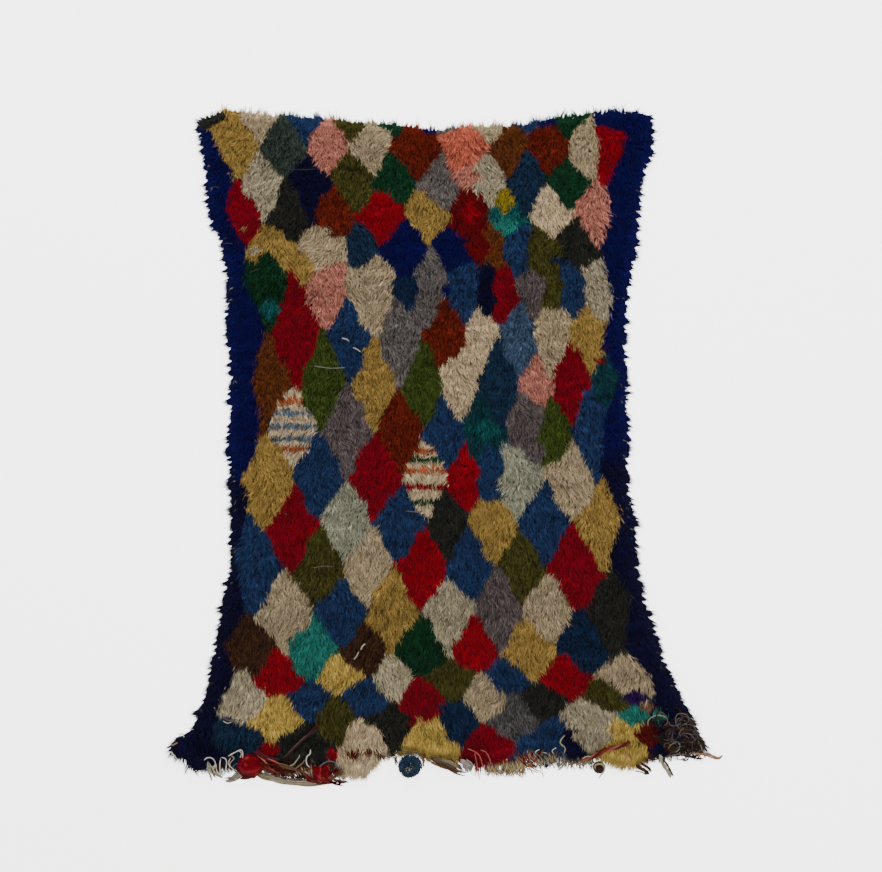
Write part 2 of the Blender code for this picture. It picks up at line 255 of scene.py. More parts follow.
def strandPiece(name, paths, radii, sides, colours, material, seed, capped=False, flat=1.0):
    # colours: one for each strand, or one for each point of each strand's path
    paths = np.asarray(paths, float)
    radii = np.asarray(radii, float)
    count, points, _ = paths.shape
    turn = np.random.default_rng(seed).uniform(0, 6.3, count) * (flat == 1.0)
    verts = sweepStrands(paths, radii, sides, turn, capped, flat)
    each = verts.shape[1]
    cells = math.ceil(math.sqrt(count))
    cell = np.stack([np.arange(count) % cells, np.arange(count) // cells], axis=-1)[:, None, None, :]
    first = (np.arange(count) * each)[:, None, None]
    corners, sizes, local, bake = [], [], [], []
    parts = strandFaces(points, sides, capped)
    for size in sorted({len(part[0]) for part in parts}):
        same = [part for part in parts if len(part[0]) == size]
        corners.append((np.array([part[0] for part in same])[None] + first).ravel())
        sizes.append(np.full(count * len(same), size))
        own = np.array([part[1] for part in same])
        spot = np.array([part[2] for part in same])
        local.append(np.broadcast_to(own[None], (count, *own.shape)).reshape(-1, 2))
        inCell = bakeCell["margin"] + bakeCell["inner"] * spot[None]
        bake.append(((cell + inCell) / cells).reshape(-1, 2))
    corners, sizes = np.concatenate(corners), np.concatenate(sizes)
    mesh = bpy.data.meshes.new(name)
    mesh.vertices.add(count * each)
    mesh.vertices.foreach_set("co", verts.astype(np.float32).ravel())
    mesh.loops.add(len(corners))
    mesh.loops.foreach_set("vertex_index", corners.astype(np.int32))
    mesh.polygons.add(len(sizes))
    starts = np.concatenate([[0], np.cumsum(sizes)[:-1]])
    mesh.polygons.foreach_set("loop_start", starts.astype(np.int32))
    mesh.polygons.foreach_set("use_smooth", np.ones(len(sizes), bool))
    mesh.update(calc_edges=True)
    for mapName, values in (("OFBake", bake), ("along", local)):
        layer = mesh.uv_layers.new(name=mapName, do_init=False)
        layer.uv.foreach_set("vector", np.concatenate(values).astype(np.float32).ravel())
    colours = np.clip(colours, 0, brightest)
    if colours.ndim == 2:
        colours = np.repeat(colours[:, None], points, axis=1)
    full = np.ones((count, each, 4), np.float32)
    full[:, 0, :3] = colours[:, 0]
    rings = (each - 1) // sides
    full[:, 1:1 + rings * sides, :3] = np.repeat(colours[:, 1:1 + rings], sides, axis=1)
    if not capped:
        full[:, -1, :3] = colours[:, -1]
    dye = mesh.color_attributes.new("dye", "FLOAT_COLOR", "POINT")
    dye.data.foreach_set("color", full.ravel())
    piece = bpy.data.objects.new(name, mesh)
    bpy.context.scene.collection.objects.link(piece)
    mesh.materials.append(material)
    return piece


def smoothRoute(places, count):
    # a smooth curve through the places, at evenly spaced points
    places = np.asarray(places, float)
    ends = np.vstack([2 * places[0] - places[1], places, 2 * places[-1] - places[-2]])
    steps = 12
    share = np.linspace(0, 1, steps, endpoint=False)[:, None]
    fine = []
    for a, b, c, d in zip(ends, ends[1:], ends[2:], ends[3:]):
        bend = (2 * a - 5 * b + 4 * c - d) * share ** 2 + (3 * b - a - 3 * c + d) * share ** 3
        fine.append(b + ((c - a) * share + bend) / 2)
    fine = np.vstack([*fine, places[-1]])
    reach = np.concatenate([[0], np.cumsum(np.linalg.norm(np.diff(fine, axis=0), axis=1))])
    goal = np.linspace(0, reach[-1], count)
    return np.stack([np.interp(goal, reach, fine[:, axis]) for axis in range(fine.shape[1])], axis=-1)


# the rug's outline in centimetres, as laid flat

outline = {
    "along": [-93, -90, -87.5, -86, -84.5, -80, -76.5, -74, -65, -57, -46, -37, -25, -14, -2, 10, 22, 35, 49,
              61, 69, 80, 91, 99],
    "left": [-81.6, -80.4, -78.0, -75.4, -73.9, -73.2, -71.4, -70.8, -68.2, -67.0, -65.0, -63.2, -63.0, -63.2,
             -63.6, -63.2, -62.8, -64.4, -64.0, -65.4, -69.8, -70.4, -72.0, -73.2],
    "right": [78.4, 77.3, 76.3, 75.5, 74.6, 72.4, 71.0, 70.0, 65.2, 62.8, 59.0, 57.0, 56.8, 54.4, 54.8, 54.2,
              53.9, 53.4, 55.0, 57.0, 57.4, 59.0, 62.2, 61.6],
    "share": [0.0, 0.06, 0.15, 0.25, 0.35, 0.45, 0.52, 0.60, 0.70, 0.80, 0.90, 0.96, 1.0],
    "upper": [97.6, 100.6, 99.0, 98.4, 96.8, 96.0, 94.6, 95.8, 95.8, 98.2, 100.2, 100.4, 99.4],
}

# ragged lower edge of the ground: places across and along (cm)
lowerEdge = np.array([
    (-81.6, -89.8), (-79, -92.2), (-76, -95), (-72, -95.6), (-69.5, -95.6), (-66, -95.4), (-61, -94.4),
    (-56, -93.4), (-50, -94.0), (-44, -94.0), (-37, -93.6), (-33.6, -92.8), (-31.5, -95.8), (-29.5, -97.8),
    (-23, -97.8), (-20.5, -94.8), (-18, -92), (-13, -90.4), (-7, -90.8), (-2, -92.8), (6, -92.6),
    (11, -94.6), (17, -93), (20.5, -92.2), (23, -90.2), (35, -90), (38, -92.2), (44, -91.6), (50, -93.4),
    (56.6, -95.6), (60, -93.8), (64, -91.8), (71, -91), (78.4, -89.8),
])

# how far down the pile's tips come at the lower end, as places across and along (cm). Few strands reach
# their aim, so it lies lower by the drop
tipDrop = 1.2
tipLine = np.array([
    (-85, -91.2), (-81.8, -92), (-79.5, -94.6), (-77.5, -95.9), (-75.5, -98), (-71.5, -98), (-69.5, -98),
    (-66, -98), (-62, -97.8), (-60, -97.4), (-57, -97), (-53, -96.8), (-50.6, -97), (-47.6, -97),
    (-44.6, -96.4), (-42.2, -95.6), (-37, -96.2), (-34.7, -94.5), (-32.9, -94.6), (-31.9, -96.5),
    (-30.7, -99.8), (-28, -100.3), (-24.5, -100.4), (-22, -99.7), (-20.9, -97), (-19, -94.6),
    (-16.7, -93.8), (-13, -93.6), (-7, -93.6), (-3.2, -94.8), (0.5, -95.6), (3.5, -95.2), (6, -94.8),
    (8, -96.2), (9.6, -96.6), (11, -99.8), (12.4, -96.6), (17, -95.4), (20, -95.2), (22, -92.6),
    (26, -91.6), (35, -91.4), (36.8, -93.8), (39.5, -94.8), (41, -93.6), (44, -93.4), (50.6, -95.6),
    (53, -96.8), (56.6, -98), (59, -96.8), (61.4, -95.3), (63.5, -93.6), (71, -92.6), (77, -92),
    (79, -91.6), (83, -90.5),
]) - [0, tipDrop]


def edgeAt(side, y):
    return np.interp(y, outline["along"], outline[side])


def tipLineAt(x):
    return np.interp(x, tipLine[:, 0], tipLine[:, 1])


def rugPlace(across, along):
    # centimetres of the woven ground at shares 0 to 1 of its width and length
    start, end = lowerEdge[0, 0], lowerEdge[-1, 0]
    low = np.interp(start + (end - start) * across, lowerEdge[:, 0], lowerEdge[:, 1])
    high = np.interp(across, outline["share"], outline["upper"])
    y = low + (high - low) * along
    left, right = edgeAt("left", y), edgeAt("right", y)
    return left + (right - left) * across, y


# pattern: rows of lozenges, each named by its yarn and the place of its middle across the rug (cm)

dyes = {
    "navy": (5, 2, 59), "ink": (8, 5, 37), "purple": (36, 4, 60),
    "red": (120, 3, 20), "deepRed": (108, 2, 19), "maroon": (84, 3, 8), "redBrown": (78, 12, 9),
    "rust": (86, 24, 9), "tobacco": (82, 42, 15), "darkBrown": (52, 31, 18), "coral": (166, 87, 68),
    "pink": (154, 99, 85), "tan": (140, 104, 76), "orange": (138, 70, 38),
    "gold": (133, 108, 55), "yellowGold": (162, 137, 68), "mustard": (122, 106, 22),
    "cream": (147, 131, 104), "dullCream": (141, 131, 108), "paleCream": (170, 150, 120),
    "white": (190, 180, 164), "lightGrey": (127, 126, 108), "midGrey": (86, 80, 77), "plumGrey": (80, 71, 70),
    "greenGrey": (126, 128, 108), "blueGrey": (76, 88, 100),
    "olive": (57, 55, 21), "leaf": (50, 62, 20), "bottle": (10, 47, 26), "deepGreen": (8, 44, 23),
    "teal": (12, 68, 68), "turquoise": (28, 99, 88), "darkTeal": (12, 46, 52),
    "blue": (26, 43, 74), "darkBlue": (19, 37, 57), "denim": (54, 70, 91), "steel": (14, 30, 54),
    "charcoal": (30, 30, 26), "coldCharcoal": (44, 53, 47),
    "fleece": (153, 142, 116), "dimGrey": (72, 69, 68), "mauve": (52, 34, 40), "dullTan": (98, 70, 54),
    "brick": (112, 44, 32), "salmon": (150, 82, 68), "darkBrick": (84, 28, 20),
}


def dyeOf(yarn):
    return np.array(linear(*dyes[yarn])[:3])


def pickDye(names, picks):
    return dyeOf(names[picks.integers(len(names))])


# each row of lozenges: its place along the rug, their half sizes, and the yarns with the place of each
# middle across the rug; a number after a yarn makes that lozenge larger or smaller
chart = [
    {"along": 98, "wide": 6.5, "tall": 7, "yarns": """-77 charcoal -55 cream -41.5 blue*1.15 -28 olive
        -15 bottle -4 navy 2 midGrey 13 cream 25 blue 30 navy*0.8 38 bottle 51 navy"""},
    {"along": 91, "wide": 6.7, "tall": 10, "yarns": """-64 gold*1.1 -48 coldCharcoal -35 pink -22 cream
        -8.5 rust*1.1 6.5 coral*1.1 19.5 tobacco 32 rust 43 cream*0.9 50 red"""},
    {"along": 78, "wide": 6.7, "tall": 9.5, "yarns": """-54.5 dullCream -40 ink -27.5 olive -14.5 bottle
        -1.5 midGrey 13 dullCream 24.5 darkBlue 37 bottle"""},
    {"along": 70, "wide": 6.7, "tall": 9.5, "yarns": """-61 deepRed -47 charcoal -32.5 rust -18 red*1.1
        -5 gold 8 maroon 19 teal 32 paleCream 46 pink"""},
    {"along": 59, "wide": 6.7, "tall": 9, "yarns": """-51 gold*0.9 -36 cream*1.05 -24.5 darkBlue*0.9
        -12 navy 3.5 navy 15.5 tobacco 21.5 blue 29 olive 40.5 charcoal"""},
    {"along": 46, "wide": 6.7, "tall": 11, "yarns": """-53 deepGreen -35 pink*1.05 -21 cream*1.3
        -11 steel*0.8 -4 midGrey*1.15 6 blue 13 ink*0.8 18 deepRed 27 plumGrey*0.9 33 olive*0.9 39 blue
        46 dullCream"""},
    {"along": 33, "wide": 6.8, "tall": 14.5, "yarns": """-45 deepRed*1.1 -28.5 blue -13 midGrey*1.1 1 rust
        11 paleCream*0.8 23 denim 32 cream 44 gold"""},
    {"along": 19, "wide": 6.8, "tall": 14.5, "yarns": """-53 tobacco -36.5 leaf -21 gold -6.5 leaf
        5 paleCream 16 darkBlue 28 pink*0.8 38 deepRed 48 darkTeal*0.65"""},
    {"along": 4, "wide": 7.4, "tall": 13.5, "yarns": """-45.5 stripedCream -29 plumGrey -12.5 rust 0.5 blue
        11 darkTeal 26 plumGrey 33 leaf*0.9 45 blue*1.1"""},
    {"along": -9.5, "wide": 7.6, "tall": 13.5, "yarns": """-52 gold*1.1 -38 blue -20.5 deepRed
        -5 stripedRed 6.5 red*0.9 14 blue*0.9 22 lightGrey 38 cream"""},
    {"along": -24, "wide": 7.8, "tall": 12.5, "yarns": """-45 deepRed -29.5 lightGrey -12.5 blue 1 charcoal
        14.5 gold 30.5 blue 47 gold*1.05"""},
    {"along": -36, "wide": 7.8, "tall": 13, "yarns": """-56.5 blue -36.5 olive -23.5 cream -6.5 red
        7.5 blue 24 olive 40 deepRed"""},
    {"along": -50, "wide": 7.8, "tall": 12.5, "yarns": """-47.5 cream -30 blue -16 gold 2 dullCream
        16 plumGrey 30.5 cream 50.5 charcoal"""},
    {"along": -60.5, "wide": 7.8, "tall": 10, "yarns": """-58 darkBrown*0.85 -39.5 turquoise
        -24.5 darkBrown -7 deepGreen 9.5 red 25.5 gold 41.5 steel"""},
    {"along": -70, "wide": 7.6, "tall": 7, "yarns": """-50 red -31.5 yellowGold -15 fleece 2.5 olive
        18.5 blue 37 red 53.5 cream"""},
    {"along": -76, "wide": 7.6, "tall": 7, "yarns": """-60 fleece -40.5 blue -23.5 blue -7.5 deepRed
        12 cream 30.5 charcoal 48.5 olive"""},
    {"along": -82, "wide": 7.6, "tall": 7.5, "yarns": """-49.5 yellowGold -32.5 olive -16.5 charcoal
        4.5 steel 21 dimGrey 44 dullCream*1.1"""},
    {"along": -89.5, "wide": 8.2, "tall": 8, "yarns": """-63 darkBlue -40.5 charcoal -23.5 paleCream*0.95
        -4 yellowGold 13 deepRed*0.92 31.5 blue 41 ink*0.8 54.5 yellowGold 66 ink"""},
]

# small patches knotted over the lozenges: across, along, half wide, half tall (cm) and yarn
patches = [
    (-71.5, 99.0, 7.0, 4.4, "charcoal"), (-66, -98, 6.4, 3.6, "darkBrown"),
    (-57.5, -96, 4.6, 4.0, "charcoal"), (-54, -96.4, 3.6, 2.8, "redBrown"),
    (-46.6, -96.4, 5.0, 3.4, "darkBrown"), (-11.6, -94.4, 4.4, 1.8, "dullTan"), (7, 80.5, 5.0, 4.2, "pink"),
    (18.5, 73.5, 3.4, 4.6, "mustard"), (-52, 41, 3.6, 3.6, "teal"), (49, 29, 2.2, 1.6, "purple"),
    (47.5, 25.5, 1.6, 1.2, "deepRed"), (11, 73, 1.8, 3.0, "maroon"), (57.5, -75.8, 5.0, 2.6, "purple"),
    (61.5, -78.8, 3.6, 1.6, "dullTan"), (57.4, -81.2, 5.2, 3.6, "turquoise"),
    (64.6, -81.4, 3.0, 2.2, "turquoise"), (61.4, -87.0, 5.0, 4.4, "redBrown"),
    (72.2, -88, 8.5, 7.0, "darkBrown"), (-26.8, -93.0, 2.6, 1.5, "redBrown"),
    (-22.6, -92.4, 1.9, 1.1, "redBrown"), (-5.6, -93.2, 1.8, 1.3, "redBrown"),
    (-49.5, -95, 5.0, 3.6, "charcoal"), (-52.6, -91.4, 3.8, 3.0, "red"), (-33.4, -92.8, 2.3, 2.3, "red"),
    (45, -87.6, 7.0, 4.6, "dullCream"), (57.5, -93.5, 6.0, 6.0, "yellowGold"),
    (-15, -88, 3.4, 6.0, "charcoal"), (-18, -92.8, 5.0, 1.0, "darkBrown"),
    (-9.2, -83.4, 1.8, 1.2, "redBrown"), (62.6, -93.2, 2.6, 2.0, "darkBrown"),
    (-42.2, 53.2, 3.8, 6.0, "gold"), (-53.2, 51, 6.5, 7.6, "deepGreen"), (8, 70, 2.8, 4.4, "red"),
    (10.4, 59.4, 4.4, 5.6, "maroon"), (18.8, 66, 4.4, 3.4, "turquoise"), (12, 5, 6.0, 3.6, "teal"),
    (-5, -80, 4.8, 3.2, "deepRed"), (22.5, -93, 3.0, 3.4, "blue"), (0.8, 46.6, 1.4, 3.0, "navy"),
    (-56.7, 58.6, 2.4, 1.4, "cream"), (35, 55.6, 3.4, 1.3, "steel"), (-60.2, 65.2, 1.0, 0.9, "tan"),
]

# bands across the two striped lozenges, by the place along the rug (cm)
stripes = {
    "stripedCream": {"ground": "paleCream", 13.4: "orange", 9.8: "blueGrey", 5.8: "blueGrey", 2.0: "blueGrey",
                     -1.0: "orange"},
    "stripedRed": {"ground": "paleCream", -1.6: "orange", -4.2: "bottle", -7.4: "orange", -12.4: "deepRed",
                   -17.2: "bottle"},
}

# inner limits of the dark side borders (cm)
border = {
    "leftAlong": [-93, -88, -76, -69, -60, -50, -34, -16, -10, -3, 8, 20, 35, 49, 59, 71, 80, 86, 95, 100],
    "leftIn": [-66, -70, -66.5, -62.5, -65.5, -59.5, -62.5, -58, -61, -56.5, -55, -57.5, -53.5, -59.5, -59.5,
               -65.5, -63.0, -66.0, -70.5, -74],
    "rightAlong": [-93, -81, -69, -61, -46, -34, -22, -16, -7, 8, 20, 30, 44, 59, 69, 78, 84, 90, 96, 99],
    "rightIn": [67, 66.5, 61.5, 54.5, 56.5, 49.5, 53.5, 51, 47, 48.5, 53, 47.5, 51, 47, 50.5, 49, 52, 54.5,
                55, 50],
    "inkBelowLeft": -10.0,
    "inkBelowRight": -3.0,
    "waver": 0.4,
    "fade": 2.5,
}

# how the lozenges stray from the chart (cm), how full their sides are, and half the width of a band (cm)
wander = {"across": 0.9, "acrossFine": 0.45, "along": 1.2, "fullness": 1.26, "halfBand": 0.8}


def readChart():
    middles, weights, names = [], [], []
    for row in chart:
        words = row["yarns"].split()
        for place, yarn in zip(words[::2], words[1::2]):
            name, _, factor = yarn.partition("*")
            factor = float(factor or 1)
            middles.append((float(place), row["along"]))
            weights.append((row["wide"] * factor, row["tall"] * factor))
            names.append(name)
    return np.array(middles), np.array(weights), np.array(names)


chartMiddles, chartWeights, chartNames = readChart()


def yarnAt(x, y, picks):
    # the yarn knotted at each place (cm): the lozenge whose middle is nearest, or the border
    bentX = x + wander["across"] * noiseField(x, y, 13, seed=91)
    bentX += wander["acrossFine"] * noiseField(x, y, 5, seed=93)
    bentY = y + wander["along"] * noiseField(x, y, 14, seed=92)
    full = wander["fullness"]
    steps = (np.abs(bentX[:, None] - chartMiddles[None, :, 0]) / chartWeights[None, :, 0]) ** full
    steps += (np.abs(bentY[:, None] - chartMiddles[None, :, 1]) / chartWeights[None, :, 1]) ** full
    names = chartNames[np.argmin(steps, axis=1)].astype("U16")
    for striped, bands in stripes.items():
        inside = names == striped
        names[inside] = bands["ground"]
        for place, yarn in bands.items():
            if place != "ground":
                names[inside & (np.abs(y - place) < wander["halfBand"])] = yarn
    waver = picks.normal(0, border["waver"], len(x))
    left = x + waver < np.interp(y, border["leftAlong"], border["leftIn"])
    right = x + waver > np.interp(y, border["rightAlong"], border["rightIn"])
    fade = picks.normal(0, border["fade"], len(x))
    names[left] = np.where(y[left] + fade[left] < border["inkBelowLeft"], "ink", "navy")
    names[right] = np.where(y[right] + fade[right] < border["inkBelowRight"], "ink", "navy")
    for across, along, wide, tall, yarn in patches:
        names[np.abs(x - across) / wide + np.abs(y - along) / tall < 1] = yarn
    return names


# pile: strands knotted in rows, leaning to the lower end and gathered in tufts

pile = {
    "rowPitch": 1.5 * cm,
    "rowsLength": 193 * cm,
    "strandPitch": 0.94 * mm,
    "crestPitch": 1.1 * mm,
    "crestLength": 134 * cm,
    "crestRows": 7,
    "selvedgePitch": 1.0 * mm,
    "selvedgeLength": 190 * cm,
    "selvedges": (0.002, 0.006, 0.010, 0.990, 0.994, 0.998),
    "hangLength": 150 * cm,
    "hangRows": 8,
    "hangFrom": 2.2,            # locks hang where the tip line is this far (cm) below the ground
    "tooth": 4.2 * mm,
    "tuftWidth": 2.6 * cm,
    "tuftShift": 0.41,          # from row to row, as a share of a tuft
    "knotShift": 0.37,
    "scatter": 5.6 * mm,        # how far roots stray from their row
    "knotWidth": 3.4 * mm,
    "knotDepth": 4.4 * mm,
    "dyeStrength": 1.5,
    "evenYarns": ["navy", "ink", "purple", "red", "deepRed", "maroon", "redBrown"],
    "evenFleck": 0.30,
    "paleFleck": 0.44,
    "darkFleck": 0.66,
    "rowPartingShade": 0.17,           # how far a row is paler or darker than the next: painted shade, darker where the row's tips sit lower, as in the partings between rows
    "tuftShade": 0.06,
    "wideShade": 0.07,
    "strandShade": 0.20,
    "darkestDye": 0.0006,
    "dyeStrayX": 1.9 * mm,      # how far a strand's yarn strays over the pattern's edges
    "dyeStrayY": 2.8 * mm,
    "rowHeight": 1.3 * mm,
    "tuftHeight": 1.5 * mm,
    "hillHeight": 1.4 * mm,
    "knotHeight": 2.4 * mm,
    "strandHeight": 1.5 * mm,
    "wanderTurn": 0.40,         # turns of the lean, in radians
    "tuftTurn": 0.36,
    "rimTurn": 0.9,
    "knotTurn": 0.42,
    "strandTurn": 0.16,
    "lean": 23 * mm,            # how far a strand's tip is from its root, seen from above
    "shown": 0.55,              # the share of that lean at which its colour shows
    "rootHeight": 4.4 * mm,
    "tipHeight": 23.0 * mm,
    "rootRadius": 2.3 * mm,
    "rootStray": 0.9 * mm,
    "tipStray": 0.9 * mm,
    "lowestTip": 2.5 * mm,
    "gather": 0.20,             # how far tips come to the middle of their tuft, knot and crest lock
    "knotGather": 0.6,
    "crestGather": 0.6,
    "rimWidth": 3.4 * cm,
    "rimDrop": 0.64,
    "lockWidth": 2.7 * cm,
    "lockPull": 0.78,
    "lockDown": 0.8 * cm,       # how far a lock's middle hangs to the lower end, and how that varies
    "lockSwing": 0.6 * cm,
    "rimPull": 0.8,
    "rimReach": 2.0 * cm,       # past the edge, and how that varies by the lock and the strand
    "rimSwing": 1.4 * cm,
    "rimStray": 6 * mm,
    "crestLock": 1.5 * cm,
    "lowWidth": 3.6 * cm,
    "lowLock": 1.5 * cm,
    "lowPull": 0.4,
    "lowSwing": 3.5 * mm,
    "lowFan": 1.6 * cm,
    "lowStray": 2.5 * mm,
}

yarnGroups = {
    "navyPile": ["navy"],
    "inkPile": ["ink", "purple"],
    "redPile": ["red", "deepRed", "maroon", "redBrown"],
    "brownPile": ["rust", "tobacco", "darkBrown"],
    "pinkPile": ["coral", "pink", "tan", "dullTan", "orange"],
    "goldPile": ["gold", "yellowGold", "mustard"],
    "creamPile": ["cream", "dullCream", "paleCream", "white", "fleece"],
    "greyPile": ["dimGrey", "lightGrey", "midGrey", "plumGrey", "greenGrey", "blueGrey"],
    "olivePile": ["olive", "leaf"],
    "greenPile": ["bottle", "deepGreen", "teal", "turquoise", "darkTeal"],
    "bluePile": ["blue", "steel"],
    "dullBluePile": ["darkBlue", "denim"],
    "charcoalPile": ["charcoal", "coldCharcoal"],
}


def woolFinish(name, heather):
    # yarn: dye from the strand, plied along its length, with paler fibres. Painted shade darkens the grooves
    # of the ply, and darkens the strand towards the end of its path, which on the pile is the root (there
    # partly dust)
    finish = Finish(name, 0.92)
    finish.shader.inputs["Sheen Weight"].default_value = 0.02
    finish.shader.inputs["Sheen Roughness"].default_value = 0.6
    parts = finish.strandMap()
    around = finish.wave(parts, 0)
    along = finish.wave(parts, 1)
    where = finish.where()
    fibres = finish.noise(where, scale=900.0, detail=1.0)
    cloudy = finish.noise(where, scale=45.0, detail=2.0)
    ply = (around * fullTurn * 2 + along * fullTurn * 9).sin()
    # painted shade: along * 0.12 darkens the strand towards its root (partly dust), and ply * 0.06 darkens
    # the ply's grooves and pales its ridges
    shade = 1.0 - along * 0.12 + ply * 0.06 + (fibres - 0.5) * heather + (cloudy - 0.5) * 0.35
    finish.tint(finish.dye(), shade)
    finish.bump(ply * 0.5 + fibres, distance=0.5 * mm, strength=0.7)
    return finish.material


def pileRoots():
    # roots of the strands: row by row from the lower end, then the crest along the upper end, the selvedges,
    # and the thick locks where the pile hangs far over the lower edge
    places, rows, crests = [], [], []

    def addBand(across, along, row, crest=0.0, hanging=False):
        x, y = rugPlace(across, along)
        kept = y - tipLineAt(x) > pile["hangFrom"] if hanging else np.ones(len(x), bool)
        places.append(np.stack([x * cm, y * cm], axis=-1)[kept])
        rows.append(np.broadcast_to(row, len(x))[kept])
        crests.append(np.full(int(kept.sum()), crest))

    def evenly(length, pitch):
        count = int(length / pitch)
        return (np.arange(count) + 0.5) / count

    rowCount = int(pile["rowsLength"] / pile["rowPitch"])
    for row in range(rowCount):
        along = (row + 0.5) / rowCount
        leftX, _ = rugPlace(np.array(0.0), along)
        rightX, _ = rugPlace(np.array(1.0), along)
        addBand(evenly((rightX - leftX) * cm, pile["strandPitch"]), along, row)
    for step in range(pile["crestRows"]):
        across = evenly(pile["crestLength"], pile["crestPitch"])
        addBand(across, 0.999 - 0.0022 * step, rowCount + step, crest=1.0 - 0.13 * step)
    for across in pile["selvedges"]:
        along = evenly(pile["selvedgeLength"], pile["selvedgePitch"])
        addBand(across, along, np.floor(along * rowCount))
    for step in range(pile["hangRows"]):
        across = evenly(pile["hangLength"], pile["crestPitch"])
        addBand(across, 0.001 + 0.0016 * step, 0, hanging=True)
    return np.concatenate(places), np.concatenate(rows), np.concatenate(crests)


# primes that keep the keys of tufts, rows, knots and layers apart
keyCount = 4099
tuftKey, rowKey, knotKey, layerKey = 1009, 7919, 613, 104729


def keyed(key, seed, columns):
    # random picks from -1 to 1 that all strands of one tuft or lock share
    return np.random.default_rng(seed).uniform(-1, 1, (keyCount, columns))[key.astype(int) % keyCount]


def makePile():
    picks = np.random.default_rng(7)
    places, rows, crest = pileRoots()
    count = len(places)
    x, y = places[:, 0], places[:, 1]

    # tufts along each row
    tuftAt = x / pile["tuftWidth"] + rows * pile["tuftShift"]
    tuft = np.floor(tuftAt + 0.35 * noiseField(x, y, 9 * cm, seed=3))
    tuftPick = keyed(tuft * tuftKey + rows * rowKey, seed=5, columns=4)
    keys, inverse = np.unique(np.stack([tuft, rows], axis=-1), axis=0, return_inverse=True)
    inverse = inverse.ravel()
    tuftX = (np.bincount(inverse, x, len(keys)) / np.bincount(inverse, minlength=len(keys)))[inverse]

    # strands of one knot keep together
    stray = picks.uniform(-pile["scatter"], pile["scatter"], count)
    knotAt = x / pile["knotWidth"] + pile["knotShift"] * rows
    layer = np.floor((stray + pile["scatter"]) / pile["knotDepth"])
    knot = np.floor(knotAt) * knotKey + rows * rowKey + layer * layerKey
    knotPick = keyed(np.abs(knot), seed=8, columns=4)
    knotX = x + (np.floor(knotAt) + 0.5 - knotAt) * pile["knotWidth"]

    # nearness to each edge, 1 on the edge
    left = edgeAt("left", y / cm) * cm
    right = edgeAt("right", y / cm) * cm
    shares = np.linspace(0, 1, 201)
    low = np.interp(x / cm, *rugPlace(shares, 0.0)) * cm
    high = np.interp(x / cm, *rugPlace(shares, 1.0)) * cm
    toLeft = np.clip(1 - (x - left) / pile["rimWidth"], 0, 1)
    toRight = np.clip(1 - (right - x) / pile["rimWidth"], 0, 1)
    toLow = np.clip(1 - (y - low) / pile["lowWidth"], 0, 1)

    # which way each strand leans
    turn = pile["wanderTurn"] * noiseField(x, y, 15 * cm, seed=21) + pile["tuftTurn"] * tuftPick[:, 0]
    turn = turn + pile["rimTurn"] * (toRight - toLeft)
    turn += pile["knotTurn"] * knotPick[:, 0] + picks.normal(0, pile["strandTurn"], count)
    way = np.stack([np.sin(turn), -np.cos(turn)], axis=-1)
    upright = np.clip(crest, 0, 1)[:, None]
    way = way * (1 - upright) + upright * np.stack([0.6 * np.sin(turn), 0 * turn + 0.85], axis=-1)

    lean = pile["lean"] * np.clip(1 + 0.12 * tuftPick[:, 1] + picks.normal(0, 0.22, count), 0.3, 1.6)
    lean *= 1 + 0.22 * knotPick[:, 3]
    crestAt = x / pile["crestLock"] + 0.5 * noiseField(x, y * 0, 7 * cm, seed=29)
    crestPick = keyed(np.floor(crestAt) + 300, seed=67, columns=1)[:, 0]
    crestMiddle = (np.floor(crestAt) + 0.5 - crestAt) * pile["crestLock"]
    lean *= (1 - picks.uniform(0, 0.6, count) * crest) * (1 + 0.7 * crest * crestPick)
    down = np.clip(np.maximum(np.maximum(toLeft, toRight) ** 1.6, toLow ** 1.2), 0, 1)
    hillock = pile["tuftHeight"] * tuftPick[:, 2] + pile["hillHeight"] * noiseField(x, y, 6 * cm, seed=77)
    rowPick = keyed(rows * 17 + 40, seed=71, columns=1)[:, 0]
    rowPick *= 0.75 + 0.4 * noiseField(x, y, 16 * cm, seed=73)
    hillock += pile["knotHeight"] * knotPick[:, 1] + pile["rowHeight"] * rowPick
    tipZ = pile["tipHeight"] + hillock + picks.normal(0, pile["strandHeight"], count)
    tipZ = tipZ * (1 - pile["rimDrop"] * down)
    tipZ *= 1 - picks.uniform(0.0, 0.75, count) * crest
    tipZ = np.maximum(tipZ, pile["lowestTip"])

    root = np.stack([x + picks.normal(0, pile["rootStray"], count), y + stray,
                     np.full(count, pile["rootHeight"])], axis=-1)
    root[:, 1] = np.clip(root[:, 1], low + 1 * mm, high - 1 * mm)
    tip = root.copy()
    tip[:, :2] += way * (lean * (1 + 0.25 * down))[:, None]
    gathered = pile["gather"] * (tuftX - x) + pile["knotGather"] * (knotX - x)
    tip[:, 0] += gathered + picks.normal(0, pile["tipStray"], count)
    tip[:, 0] += pile["crestGather"] * crest * crestMiddle
    tip[:, 2] = tipZ

    # each strand has the yarn of the pattern where its upper part shows, with small teeth from row to row
    showX, showY, _ = (root + pile["shown"] * (tip - root)).T
    phase = showY * 2 * math.pi / pile["rowPitch"] + 2.5 * noiseField(x, y, 8 * cm, seed=14)
    showX = showX + pile["tooth"] * np.sin(phase) + picks.normal(0, pile["dyeStrayX"], count)
    showY = showY + picks.normal(0, pile["dyeStrayY"], count)
    yarns = yarnAt(showX / cm, showY / cm, picks)

